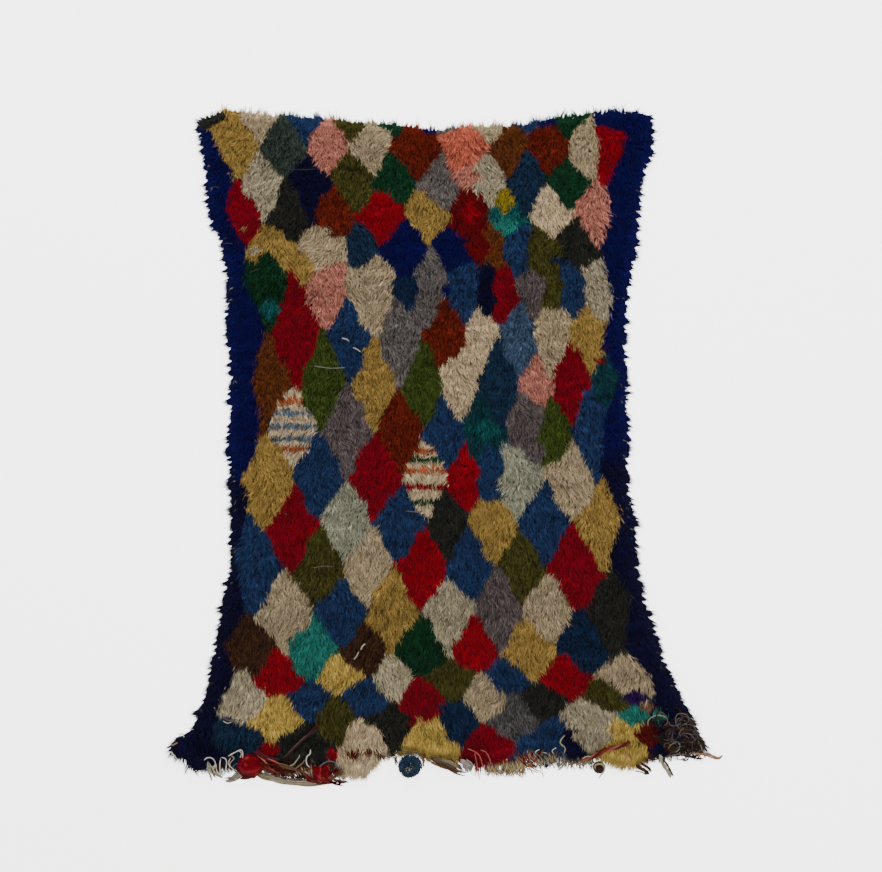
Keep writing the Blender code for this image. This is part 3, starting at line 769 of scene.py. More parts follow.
    # rim: strands of the outer band run together into locks of unequal reach
    for side, near, sideName in ((-1, toLeft, "left"), (1, toRight, "right")):
        lockAt = y / pile["lockWidth"] + 0.8 * noiseField(x * 0 + side, y, 12 * cm, seed=51)
        lock = np.floor(lockAt)
        pick = keyed(lock * 31 + side * 977 + 5000, seed=61, columns=4)
        lockY = y + (lock + 0.5 - lockAt) * pile["lockWidth"]
        lockY -= pile["lockDown"] + pile["lockSwing"] * pick[:, 1]
        reach = pile["rimReach"] + pile["rimSwing"] * pick[:, 0] + picks.normal(0, pile["rimStray"], count)
        tip[:, 1] += (near ** 1.3) * pile["lockPull"] * (lockY - tip[:, 1])
        edge = edgeAt(sideName, tip[:, 1] / cm) * cm
        aimX = edge + side * reach * (0.35 + 0.65 * near)
        tip[:, 0] += (near ** 1.7) * pile["rimPull"] * (aimX - tip[:, 0])

    # lower end: tips come down to the tip line, in small locks
    lockAt = x / pile["lowLock"] + 0.4 * noiseField(x, y * 0, 9 * cm, seed=19)
    pick = keyed(np.floor(lockAt) * 13 + 9000, seed=23, columns=2)
    tipLow = tipLineAt(x / cm) * cm
    fan = picks.uniform(0, 1, count) ** 1.2
    tipAim = tipLow + pile["lowSwing"] * pick[:, 0]
    tipAim += fan * np.maximum(pile["lowFan"], 0.8 * (low - tipLow))
    reachDown = toLow ** 0.9
    tip[:, 1] += reachDown * (np.minimum(tipAim, tip[:, 1]) - tip[:, 1])
    tip[:, 0] += reachDown * pile["lowPull"] * ((np.floor(lockAt) + 0.5 - lockAt) * pile["lowLock"])
    tip[:, 2] += reachDown * picks.uniform(-3 * mm, 10 * mm, count)
    tip[:, 0] += reachDown * picks.normal(0, pile["lowStray"], count)

    thick = np.clip(1 + picks.normal(0, 0.20, count), 0.5, 1.6)
    thick = thick * (1 + 0.15 * np.maximum(toLeft, toRight))
    radii = np.stack([0 * thick, thick * pile["rootRadius"]], axis=-1)
    tip[:, 2] = np.maximum(tip[:, 2], 0.8 * mm)
    paths = np.stack([tip, root], axis=1)

    base = np.array([dyeOf(yarn) for yarn in sorted(dyes)])
    base = base[np.searchsorted(sorted(dyes), yarns)]
    fleck = np.where(base.max(axis=1) < 0.1, pile["darkFleck"], pile["paleFleck"])
    fleck[np.isin(yarns, pile["evenYarns"])] = pile["evenFleck"]
    shade = 1 + pile["tuftShade"] * tuftPick[:, 3] + pile["wideShade"] * noiseField(x, y, 22 * cm, seed=33)
    # rowPick also lifts or lowers the row's tips, so a lower row is darker: painted shade of the partings
    # between rows
    shade = shade + fleck * knotPick[:, 2] + pile["rowPartingShade"] * rowPick
    shade += picks.normal(0, 1, count) * (pile["strandShade"] + 0.10 * toLow)
    shade = pile["dyeStrength"] * np.clip(shade, 0.25, 2)
    colours = np.clip(base * shade[:, None], pile["darkestDye"], brightest)

    pieces = []
    for name, group in yarnGroups.items():
        chosen = np.isin(yarns, group)
        wool = woolFinish(name + "Wool", 0.28)
        pieces.append(strandPiece(name, paths[chosen], radii[chosen], 3, colours[chosen], wool,
                                  seed=len(pieces), capped=True))
        print("pile", name, int(chosen.sum()), "strands")
    print("pile", count, "strands in all")
    return pieces


# height of what a loose end lies on: the pile, or the floor beyond it

def restHeight(x, y):
    toSide = np.minimum(x - edgeAt("left", y), edgeAt("right", y) - x)
    inside = np.minimum(toSide + 1.0, y - tipLineAt(x))
    share = np.clip((inside + 1.2) / 3.0, 0, 1)
    return pile["tipHeight"] * share * share * (3 - 2 * share)


# loose ends that are seen singly: thickness (mm), how far it lies above the rest (mm), and its way (cm)
yarnEnds = [
    ("white", 3.6, 2, "-71.9 -94.4 -70.7 -93.5 -69.2 -93.8 -68.3 -95.6 -69.2 -97.4"),
    ("white", 3.8, 3, "-66.7 -93.5 -67.0 -95.9 -66.6 -98.8 -65.6 -98.2 -65.0 -95.3 -65.3 -93.8 -66.8 -93.3"),
    ("white", 3.2, 1, "-70.3 -95.0 -69.5 -96.5 -68.2 -95.6 -68.0 -97.4 -66.8 -99.2"),
    ("white", 3.4, 2, "-64.7 -93.2 -62.6 -92.0 -60.5 -91.2 -60.2 -93.5 -60.8 -95.0"),
    ("white", 3.0, 2, "-63.8 -93.5 -64.4 -95.3 -63.2 -96.8 -62.2 -97.6"),
    ("white", 3.0, 2, "-61.3 -91.4 -60.6 -92.2 -60.9 -93.6"),
    ("dullCream", 3.2, 1, "-64.3 -96.8 -63.8 -95.0 -62.8 -93.8 -63.8 -92.8"),
    ("blueGrey", 2.6, 2, "-63.6 -97.9 -62.9 -96.0 -61.6 -95.3 -60.9 -96.4"),
    ("greenGrey", 5.0, 1, "-70.6 -94.5 -70.5 -97.0 -70.3 -99.0 -69.8 -101.2"),
    ("greenGrey", 6.0, 0, "-70.3 -95.8 -69.6 -97.9 -68.8 -98.9 -67.0 -99.9"),
    ("dullCream", 6.0, 0, "-69.6 -96.0 -68.4 -98.2 -67.4 -99.6 -66.4 -100.2"),
    ("olive", 4.6, 0, "-71.2 -95.3 -69.9 -97.2 -69.2 -99.2 -68.6 -100.2"),
    ("white", 3.6, 2, "-39.8 -90.9 -40.0 -92.4 -40.9 -93.2 -41.1 -94.7 -40.6 -96.2 -39.8 -97.2"),
    ("blueGrey", 3.6, 3, "-37.6 -97.2 -36.4 -95.6 -34.6 -94.7 -32.5 -95.0 -31.9 -96.5 -32.9 -98.0"),
    ("mauve", 4.4, 2, "-48.8 -94.2 -46.6 -92.4 -43.9 -89.9 -41.2 -87.5 -38.5 -85.7 -37.4 -85.2"),
    ("dullTan", 3.0, 2, "-47.0 -92.6 -44.6 -90.1 -41.9 -87.5 -39.4 -85.8"),
    ("mauve", 5.0, 1, "-41.2 -87.0 -39.4 -85.6 -37.4 -84.6"),
    ("mauve", 7.0, 2, "-55.4 -92.2 -51.8 -93.6 -48.8 -94.0"),
    ("redBrown", 4.6, 4, "-39.8 -85.4 -38.2 -84.2 -36.9 -83.6"),
    ("greenGrey", 3.8, 3, "-46.6 -96.2 -44.9 -95.4 -43.4 -93.5 -43.0 -92.4"),
    ("tan", 3.6, 2, "-45.4 -97.7 -43.9 -96.5 -42.1 -95.0 -41.5 -93.9"),
    ("olive", 4.0, 2, "-47.2 -95.6 -45.6 -96.2 -44.2 -95.4"),
    ("salmon", 5.0, 3, "-56.0 -92.6 -54.2 -94.0 -52.6 -95.6 -51.4 -97.6"),
    ("maroon", 7.0, 4, "-56.0 -95.6 -52.8 -96.8 -49.8 -97.6 -47.0 -98.0"),
    ("redBrown", 6.0, 3, "-54.6 -96.6 -51.6 -98.0 -49.0 -98.6"),
    ("dullTan", 5.0, 3, "-50.4 -95.0 -47.0 -95.8 -43.6 -97.4 -41.0 -98.2"),
    ("maroon", 6.0, 4, "-57.0 -91.6 -54.4 -93.2 -51.4 -94.6 -48.8 -96.4"),
    ("salmon", 4.0, 4, "-54.8 -93.4 -52.0 -94.0 -49.4 -95.2 -47.4 -97.2"),
    ("redBrown", 5.0, 3, "-54.4 -95.0 -51.4 -95.6 -48.6 -96.6 -46.0 -97.4"),
    ("pink", 3.4, 4, "-54.6 -92.6 -53.2 -93.4 -53.6 -94.8 -52.4 -96.2"),
    ("dullTan", 5, 0, "-14.6 -93.2 -14.6 -95.0 -14.2 -96.6"),
    ("tobacco", 5, 0, "-14.0 -93.0 -14.2 -94.4 -13.8 -96.0"),
    ("tan", 6, 0, "-7.0 -93.0 -6.2 -94.8 -6.0 -97.0"), ("olive", 5, 0, "-7.8 -93.4 -6.8 -95.6 -6.6 -97.8"),
    ("dullTan", 5, 0, "-6.4 -92.8 -5.8 -94.4 -5.8 -95.6"),
    ("plumGrey", 3.6, 3, "-15.4 -92.4 -13.6 -91.8 -11.5 -91.6 -8.8 -91.8 -6.6 -92.6"),
    ("salmon", 2.8, 3, "-8.6 -80.8 -7.6 -82.4 -6.2 -83.4 -5.0 -83.7"),
    ("salmon", 3.2, 3, "7.0 -90.8 9.2 -91.6 10.8 -93.0 11.6 -95.4 12.2 -97.0"),
    ("salmon", 3.0, 3, "10.9 -91.1 12.8 -92.0 13.9 -94.1 14.2 -96.0"),
    ("salmon", 3.0, 3, "9.2 -91.8 9.8 -94.4 10.3 -97.4 10.9 -100.6"),
    ("salmon", 3.4, 2, "22.0 -94.4 24.4 -96.0 27.4 -97.6 29.6 -98.6 30.2 -100.4"),
    ("orange", 3.0, 2, "21.0 -95.4 24.0 -96.8 26.8 -98.0 28.8 -98.8"),
    ("dullCream", 4.2, 4, "36.4 -86.6 35.2 -88.2 35.0 -89.2 36.4 -90.6 36.1 -92.4"),
    ("dullCream", 4.0, 2, "41.8 -95.8 41.6 -94.2 42.8 -93.2 44.2 -93.2"),
    ("dullCream", 4.6, 15, "45.6 -97.4 45.5 -96.2 46.4 -95.5 47.6 -95.6 48.3 -96.6 "
                           "48.2 -97.8 47.4 -98.8 46.6 -100.2"),
    ("tan", 4.0, 5, "53.9 -91.3 54.8 -93.9 56.0 -95.9"),
    ("darkBrown", 12.0, 0, "57.6 -95.6 60.2 -97.6 62.0 -99.1"),
    ("darkBrown", 9.0, 0, "59.0 -95.0 61.6 -97.0 62.6 -98.4"),
    ("redBrown", 4.0, 0, "57.4 -97.6 59.4 -98.4 61.4 -99.4"),
    ("greenGrey", 11.0, 0, "64.6 -92.4 65.8 -95.4 67.0 -97.4 68.0 -98.8 68.5 -100.3"),
    ("darkBrown", 7.0, 3, "65.2 -93.5 67.2 -95.9 68.4 -98.1 69.3 -99.7"),
    ("tan", 8.0, 0, "74.0 -92.0 77.0 -92.6 79.3 -92.8 81.8 -93.9 83.0 -94.3 84.3 -93.2"),
    ("brick", 4.4, 0, "76.0 -92.4 79.0 -93.4 81.0 -94.2 83.0 -94.7"),
    ("darkBrown", 5.6, 0, "70.8 -92.7 74.5 -93.9 77.0 -94.4 78.6 -94.5"),
    ("midGrey", 4.4, 0, "62.6 -94.8 65.8 -93.9 69.8 -92.6 72.1 -92.8 74.5 -92.6 77.0 -91.6"),
    ("darkBrown", 5.0, 1, "74.6 -87.6 77.2 -88.2 79.0 -89.6"),
    ("tan", 5.0, 0, "-83.6 -91.2 -81.9 -90.4 -79.8 -89.2"),
    ("white", 3.0, 1, "-81.8 -91.8 -80.6 -93.2 -79.4 -94.4"),
    ("white", 3.2, 0, "-80.0 -87.9 -79.0 -86.8 -77.8 -87.6"),
    ("midGrey", 3.6, 1, "-66.4 -81.4 -64.4 -82.4 -62.0 -82.0"),
    ("white", 2.8, 1, "-66.2 -82.6 -64.6 -83.2 -63.4 -82.8"),
    ("white", 2.6, 2, "33.8 -90.4 32.6 -91.6 33.4 -93.2"),
    ("white", 2.6, 2, "28.8 -91.0 27.6 -92.0 28.6 -93.4"),
    ("white", 3.0, 2, "29.8 -92.2 31.0 -92.6 31.4 -94.2"),
    ("maroon", 3.4, 3, "28.0 -91.6 29.4 -92.6 30.4 -93.8"),
    ("navy", 9.0, 2, "29.8 -94.0 30.6 -95.4 31.2 -97.2"), ("ink", 8.0, 2, "31.0 -93.8 31.8 -95.2 32.0 -96.8"),
    ("navy", 8.0, 2, "34.0 -93.6 35.2 -94.6 36.4 -95.8"),
    ("maroon", 3.4, 3, "26.2 -91.8 27.0 -93.0 26.4 -94.4"),
]

# rag strips, flat: width (mm), how far each lies above the rest (mm), and its way (cm)
ragStrips = [
    ("white", 16, 0, "-60.4 -97.8 -61.6 -98.8 -62.8 -99.8 -64.4 -100.6 -66.0 -101.0"),
    ("paleCream", 12, 2, "-59.0 -97.4 -60.6 -98.6 -62.0 -99.9 -63.4 -100.6"),
    ("salmon", 10, 0, "-61.6 -100.0 -59.0 -100.2 -56.6 -99.4 -54.6 -98.2"),
    ("paleCream", 18, 0, "-56.4 -97.4 -55.4 -98.8 -53.8 -99.6 -51.6 -100.2 "
                         "-49.0 -101.2 -44.0 -101.6 -38.4 -101.6 -34.0 -101.5"),
    ("white", 12, 3, "-54.6 -97.8 -52.6 -99.4 -50.2 -100.6 -46.4 -101.3 -42.0 -101.5 -37.6 -101.5"),
    ("tan", 10, 5, "-54.0 -96.6 -51.8 -98.2 -50.0 -99.8 -47.8 -100.9 -44.6 -101.2 -41.6 -101.1"),
    ("white", 7, 7, "-52.2 -97.4 -50.4 -99.2 -48.6 -100.4 -45.8 -101.0 -42.8 -100.9"),
    ("greenGrey", 6, 6, "-49.0 -99.8 -46.4 -100.4 -43.4 -100.4 -40.6 -100.0"),
    ("salmon", 9, 6, "-53.8 -95.8 -51.2 -97.2 -49.6 -98.8 -48.8 -100.0"),
    ("brick", 8, 8, "-54.8 -94.8 -52.2 -96.2 -50.8 -98.0 -49.8 -99.8"),
    ("tan", 6, 8, "-49.6 -95.4 -46.6 -96.4 -43.6 -97.6 -41.0 -97.2 -39.4 -96.2"),
    ("tobacco", 8, 6, "-51.0 -96.0 -47.5 -97.2 -44.4 -98.4 -41.6 -98.2"),
    ("dullTan", 8, 5, "-47.6 -99.4 -44.8 -98.6 -42.4 -98.2 -40.4 -99.4"),
    ("redBrown", 8, 6, "-44.8 -99.9 -42.4 -99.8 -40.0 -100.6"),
    ("salmon", 9, 8, "-42.0 -98.6 -40.4 -99.8 -38.8 -101.0 -36.4 -101.4"),
    ("deepRed", 13, 5, "-41.4 -99.6 -39.4 -100.7 -36.6 -101.2 -33.4 -101.2"),
    ("salmon", 11, 8, "-38.6 -100.6 -35.6 -100.8 -32.8 -99.4 -31.0 -97.8 -30.2 -96.4"),
    ("tan", 8, 9, "-34.4 -100.8 -32.4 -99.4 -30.8 -98.2 -29.6 -97.8"),
    ("deepRed", 9, 8, "-35.6 -98.6 -33.8 -98.4 -32.2 -97.6 -31.2 -96.4"),
    ("maroon", 12, 1, "-34.8 -101.0 -32.2 -101.8 -30.0 -101.9"),
    ("dullCream", 8, 0, "-33.4 -100.6 -31.0 -101.1 -29.2 -101.0 -28.9 -102.0"),
    ("tan", 15, 1, "-4.4 -93.4 -1.6 -95.2 1.1 -96.8 4.0 -98.1 7.0 -98.9"),
    ("tan", 6, 6, "-3.2 -94.2 -0.4 -95.8 2.4 -97.4 5.8 -98.7"),
    ("dullCream", 9, 6, "-2.6 -93.2 0.2 -94.6 3.0 -96.0 5.8 -97.0"),
    ("tan", 6, 6, "-4.0 -93.0 -1.0 -94.6 1.8 -96.1 4.6 -97.6"),
    ("paleCream", 8, 7, "-0.8 -93.6 1.8 -94.8 4.4 -96.4 6.2 -98.4"),
    ("white", 13, 4, "5.2 -93.8 6.6 -95.6 7.2 -98.6"), ("white", 11, 4, "6.6 -94.0 8.2 -95.8 8.0 -98.4"),
    ("paleCream", 9, 2, "5.6 -96.6 7.2 -97.0 8.8 -96.0"),
]

# loose warp and wool ends by the stretch: from and to across, where they start along (cm), reach and sway
# (cm to the right for each cm down), how many, and their yarns
endStretches = [
    (-79, -71, -93.5, 5.2, 0.0, 16, "charcoal plumGrey tobacco"),
    (-71, -61, -96.0, 3.2, 0.1, 34, "dullCream greenGrey plumGrey olive darkBrown"),
    (-58, -46, -93.6, 5.2, 0.8, 300, "salmon tan maroon dullTan charcoal redBrown olive dullCream brick "
                                     "darkBrown maroon"),
    (-50, -32, -93.4, 4.6, 0.3, 200, "olive charcoal maroon salmon dullCream darkBrown redBrown tan"),
    (-53, -31, -95.8, 4.4, 0.5, 460, "maroon redBrown salmon dullTan dullCream darkBrown tan charcoal"),
    (-20, -13.4, -91.6, 2.6, 0.0, 44, "tobacco darkBrown dullCream olive"),
    (-8, -3.4, -92.2, 2.8, 0.2, 24, "dullCream tan olive redBrown"),
    (-3, 6, -94.2, 2.6, 0.6, 26, "tan tobacco dullCream"),
    (12.5, 24, -94.8, 4.4, 0.15, 260, "dullCream cream yellowGold tan cream"),
    (19, 27, -90.8, 5.8, 0.9, 200, "salmon tan dullCream deepRed redBrown greenGrey"),
    (24, 36, -90.8, 4.2, 0.2, 280, "dullCream greenGrey midGrey charcoal tobacco"),
    (28, 45, -93.4, 3.6, 0.0, 260, "dullCream greenGrey lightGrey tan"),
    (44, 52, -93.4, 2.6, 0.0, 16, "darkBrown charcoal tan"),
    (58, 68, -92.4, 3.0, 0.2, 40, "darkBrown ink greenGrey charcoal"),
    (64, 78, -91.4, 3.2, 0.4, 60, "darkBrown charcoal midGrey tobacco greenGrey"),
]

tangle = {"across": 71.0, "along": -87.0, "wide": 6.6, "tall": 6.4, "count": 130, "shift": 0.25, "dim": 0.55,
          "yarns": "plumGrey lightGrey darkBrown charcoal midGrey ink ink tobacco darkBrown charcoal "
                   "plumGrey darkBrown"}

# short pale yarns that show in the partings of the pile: thickness (mm) and way (cm)
strays = [
    ("midGrey", 1.6, "-48.2 83.2 -44.0 82.7 -38.0 82.9"), ("white", 4.4, "-30.6 32.2 -29.2 31.9 -28.2 31.2"),
    ("white", 4.0, "-27.2 29.4 -26.0 28.9 -24.8 28.0"),
    ("lightGrey", 1.8, "-11.6 -19.6 -8.6 -19.9 -5.6 -19.6"),
    ("lightGrey", 1.8, "-39.8 -36.8 -36.2 -36.2 -32.6 -36.4"),
    ("white", 4.4, "-23.4 -59.4 -24.3 -60.2 -24.8 -61.4"),
    ("cream", 4.0, "-59.6 57.6 -57.6 58.2 -55.7 59.3"),
    ("lightGrey", 3.0, "-39.2 23.9 -34.0 23.2 -29.0 23.4"),
    ("white", 4.4, "-25.4 -61.8 -26.2 -63.4 -27.0 -64.2"), ("lightGrey", 1.8, "-47.7 -20.2 -46.9 -20.8"),
    ("midGrey", 1.8, "10.2 -46.8 12.4 -47.2 14.2 -46.9"),
    ("midGrey", 2.0, "-70.5 77.0 -68.6 77.6 -67.0 77.2"),
    ("midGrey", 2.0, "-67.5 60.4 -65.0 60.7 -63.0 60.4"),
    ("midGrey", 1.8, "-55.0 53.0 -57.4 52.2 -58.4 51.4"),
]

selvedgeThreads = {"count": 48, "reach": 2.2 * cm, "thick": 1.1 * mm,
                   "yarns": "blueGrey lightGrey white plumGrey dullCream"}


def layYarns(entries, count, picks, dim, taper=9):
    # paths, radii and colours of single loose ends, each laid on what is under it. A smooth yarn has none of
    # the pile's own shadow, so its dye is dimmed
    paths, radii, colours = [], [], []
    for yarn, thick, lift, words in entries:
        flatWay = smoothRoute(np.array(words.split(), float).reshape(-1, 2), count)
        height = restHeight(flatWay[:, 0], flatWay[:, 1])
        waves = 1.5 * mm * np.sin(np.linspace(0, 9, count) + picks.uniform(0, 6))
        radius = thick * mm / 2
        z = height + radius + lift * mm + np.maximum(waves, -radius - lift * mm)
        paths.append(np.column_stack([flatWay * cm, np.maximum(z, radius + 0.3 * mm)]))
        shares = np.linspace(0, 1, count)
        profile = np.clip(np.minimum(9 * shares, taper * (1 - shares)), 0, 1) ** 0.6
        radii.append(radius * profile * (1 + 0.10 * np.sin(np.linspace(0, 23, count) + picks.uniform(0, 6))))
        colours.append(dyeOf(yarn) * picks.uniform(0.85, 1.15) * dim)
    return paths, radii, colours


def makeYarnEnds():
    picks = np.random.default_rng(41)
    paths, radii, colours = layYarns(yarnEnds, 22, picks, dim=0.75)
    return strandPiece("yarnEnds", paths, radii, 6, colours, woolFinish("looseWool", 0.35), seed=2)


def makeStrays():
    picks = np.random.default_rng(43)
    entries = [(yarn, thick, -2, words) for yarn, thick, words in strays]
    paths, radii, colours = layYarns(entries, 12, picks, dim=0.48)
    return strandPiece("strayYarns", paths, radii, 6, colours, woolFinish("strayWool", 0.3), seed=3)


def makeRagStrips():
    picks = np.random.default_rng(45)
    strips = layYarns(ragStrips, 24, picks, dim=0.62, taper=4)
    paths, radii, colours = [], [], []
    for line, radius, colour in zip(*strips):
        ways = np.gradient(line, axis=0)
        aside = np.column_stack([-ways[:, 1], ways[:, 0], 0 * ways[:, 0]])
        aside /= np.linalg.norm(aside, axis=1, keepdims=True)
        for fold in (-1, 0, 1):
            swing = np.linspace(0, picks.uniform(5, 11), len(line)) + picks.uniform(0, 6)
            waver = 0.22 * radius.max() * np.sin(swing)
            narrow = radius * picks.uniform(0.38, 0.5)
            path = line + aside * (fold * 0.58 * radius.max() + waver)[:, None]
            path[:, 2] += picks.uniform(-0.5, 0.35) * radius.max()
            path[:, 2] = np.maximum(path[:, 2], 0.6 * narrow.max() + 0.4 * mm)
            paths.append(path)
            radii.append(narrow)
            colours.append(colour * picks.uniform(0.55, 1.15))
    rag = Finish("creasedRag", 0.85)
    where = rag.where()
    fibres = rag.noise(where, scale=1400.0, detail=1.0)
    cloudy = rag.noise(where, scale=60.0, detail=3.0)
    folds = (rag.wave(rag.strandMap(), 0) * fullTurn * 5 + cloudy * 9.0).sin()
    # folds * 0.16 is painted shade and light: darker in the fold troughs that the bump carves, paler on their
    # ridges
    shade = 0.80 + folds * 0.16 + (cloudy - 0.5) * 0.6 + (fibres - 0.5) * 0.2
    rag.tint(rag.dye(), shade)
    rag.bump(folds + fibres * 0.4, distance=1.2 * mm, strength=0.8)
    return strandPiece("ragStrips", paths, radii, 6, colours, rag.material, seed=4, flat=0.55)


def makeWarpEnds():
    # loose ends by the stretch, each from under the pile out over the floor
    picks = np.random.default_rng(47)
    paths, radii, colours = [], [], []
    for start, end, along, reach, sway, count, words in endStretches:
        names = words.split()
        for _ in range(count):
            x = picks.uniform(start, end)
            y = along + picks.uniform(-0.8, 0.8)
            far = reach * picks.uniform(0.45, 1.15)
            curl = picks.normal(0, 0.5)
            shares = np.linspace(0, 1, 6)
            aside = (sway + picks.normal(0, 0.25)) * shares
            wayX = x + far * (aside + 0.22 * curl * np.sin(shares * picks.uniform(2.5, 6.0)))
            wayY = y - far * (shares - 0.12 * abs(curl) * np.sin(shares * 5.5))
            flatWay = smoothRoute(np.column_stack([wayX, wayY]), 7)
            radius = picks.uniform(1.2, 2.3) * mm
            arch = np.sin(np.linspace(0.2, math.pi, 7)) * picks.uniform(1, 12) * mm
            paths.append(np.column_stack([flatWay * cm, radius + 0.4 * mm + arch]))
            radii.append(radius * np.concatenate([[0], np.ones(4), [0.8, 0]]))
            colours.append(pickDye(names, picks) * picks.uniform(0.5, 1.05))
    return strandPiece("warpEnds", paths, radii, 3, colours, woolFinish("warpEndWool", 0.35), seed=5)


def makeTangle():
    # loops of yarn felted together at the lower right corner
    picks = np.random.default_rng(49)
    names = tangle["yarns"].split()
    paths, radii, colours = [], [], []
    for _ in range(tangle["count"]):
        off = picks.normal(0, 0.5, 2)
        middleX = tangle["across"] + off[0] * tangle["wide"] - off[1] * tangle["wide"] * tangle["shift"]
        middle = np.array([middleX, tangle["along"] + off[1] * tangle["tall"]])
        size = picks.uniform(0.8, 3.2)
        start, sweep = picks.uniform(0, 6.3), picks.uniform(2.4, 5.6)
        angles = start + np.linspace(0, sweep, 7)
        lean = picks.uniform(0, 3.2)
        loop = np.column_stack([np.cos(angles), np.sin(angles) * picks.uniform(0.45, 1.0)]) * size
        loop += picks.normal(0, 0.18, loop.shape)
        turned = np.column_stack([loop[:, 0] * math.cos(lean) - loop[:, 1] * math.sin(lean),
                                  loop[:, 0] * math.sin(lean) + loop[:, 1] * math.cos(lean)])
        flatWay = smoothRoute(middle + turned, 17)
        edge = edgeAt("right", flatWay[:, 1])
        flatWay[:, 0] -= max(0.0, (flatWay[:, 0] - edge).max() - picks.uniform(0.2, 2.4))
        radius = picks.uniform(1.1, 2.1) * mm
        height = restHeight(flatWay[:, 0], flatWay[:, 1])
        arch = np.sin(np.linspace(0, math.pi, 17)) * picks.uniform(1, 6) * mm
        z = np.maximum(height + arch - 1 * mm, radius + 0.4 * mm)
        paths.append(np.column_stack([flatWay * cm, z]))
        radii.append(radius * np.concatenate([[0, 0.8], np.ones(13), [0.8, 0]]))
        shade = tangle["dim"] * picks.uniform(0.6, 1.6)
        colours.append(pickDye(names, picks) * shade)
    return strandPiece("tangledYarn", paths, radii, 4, colours, woolFinish("tangledWool", 0.35), seed=6)


def makeSelvedgeThreads():
    picks = np.random.default_rng(51)
    names = selvedgeThreads["yarns"].split()
    paths, radii, colours = [], [], []
    for _ in range(selvedgeThreads["count"]):
        side = picks.choice([-1, 1])
        y = picks.uniform(-88, 96)
        edge = edgeAt("left" if side < 0 else "right", y)
        far = selvedgeThreads["reach"] / cm * picks.uniform(0.5, 1.1)
        shares = np.linspace(0, 1, 5)
        wayX = edge + side * (far * shares - 0.8)
        wayY = y - far * (0.4 * shares + 0.35 * picks.normal() * np.sin(shares * 4))
        flatWay = smoothRoute(np.column_stack([wayX, wayY]), 9)
        z = np.linspace(18, 6, 9) * mm * picks.uniform(0.7, 1.2)
        paths.append(np.column_stack([flatWay * cm, z]))
        radii.append(selvedgeThreads["thick"] * np.concatenate([[0], np.ones(6), [0.8, 0]]))
        colours.append(pickDye(names, picks) * picks.uniform(0.35, 0.8))
    return strandPiece("selvedgeThreads", paths, radii, 4, colours, woolFinish("selvedgeWool", 0.3), seed=7)


# pieces tied in at the lower edge

ragBalls = [
    {"name": "largeRagBall", "node": "large_rag_knot", "wraps": 9, "seed": 3, "dye": "red", "grow": 1.10,
     "move": (-3 * mm, -4 * mm, 0)},
    {"name": "smallRagBall", "node": "small_rag_knot", "wraps": 8, "seed": 6, "dye": "red", "grow": 1.12,
     "move": (2 * mm, -6 * mm, 0)},
]


def ballFinish(name):
    # rag, wound or rolled on itself: unevenly dyed, with fine fibres
    finish = Finish(name, 0.8)
    where = finish.where()
    fibres = finish.noise(where, scale=1500.0, detail=1.0)
    cloudy = finish.noise(where, scale=90.0, detail=3.0)
    finish.tint(finish.dye(), 0.8 + (cloudy - 0.5) * 1.1 + (fibres - 0.5) * 0.3)
    finish.bump(cloudy * 1.5 + fibres * 0.5, distance=1.6 * mm, strength=0.9)
    return finish.material


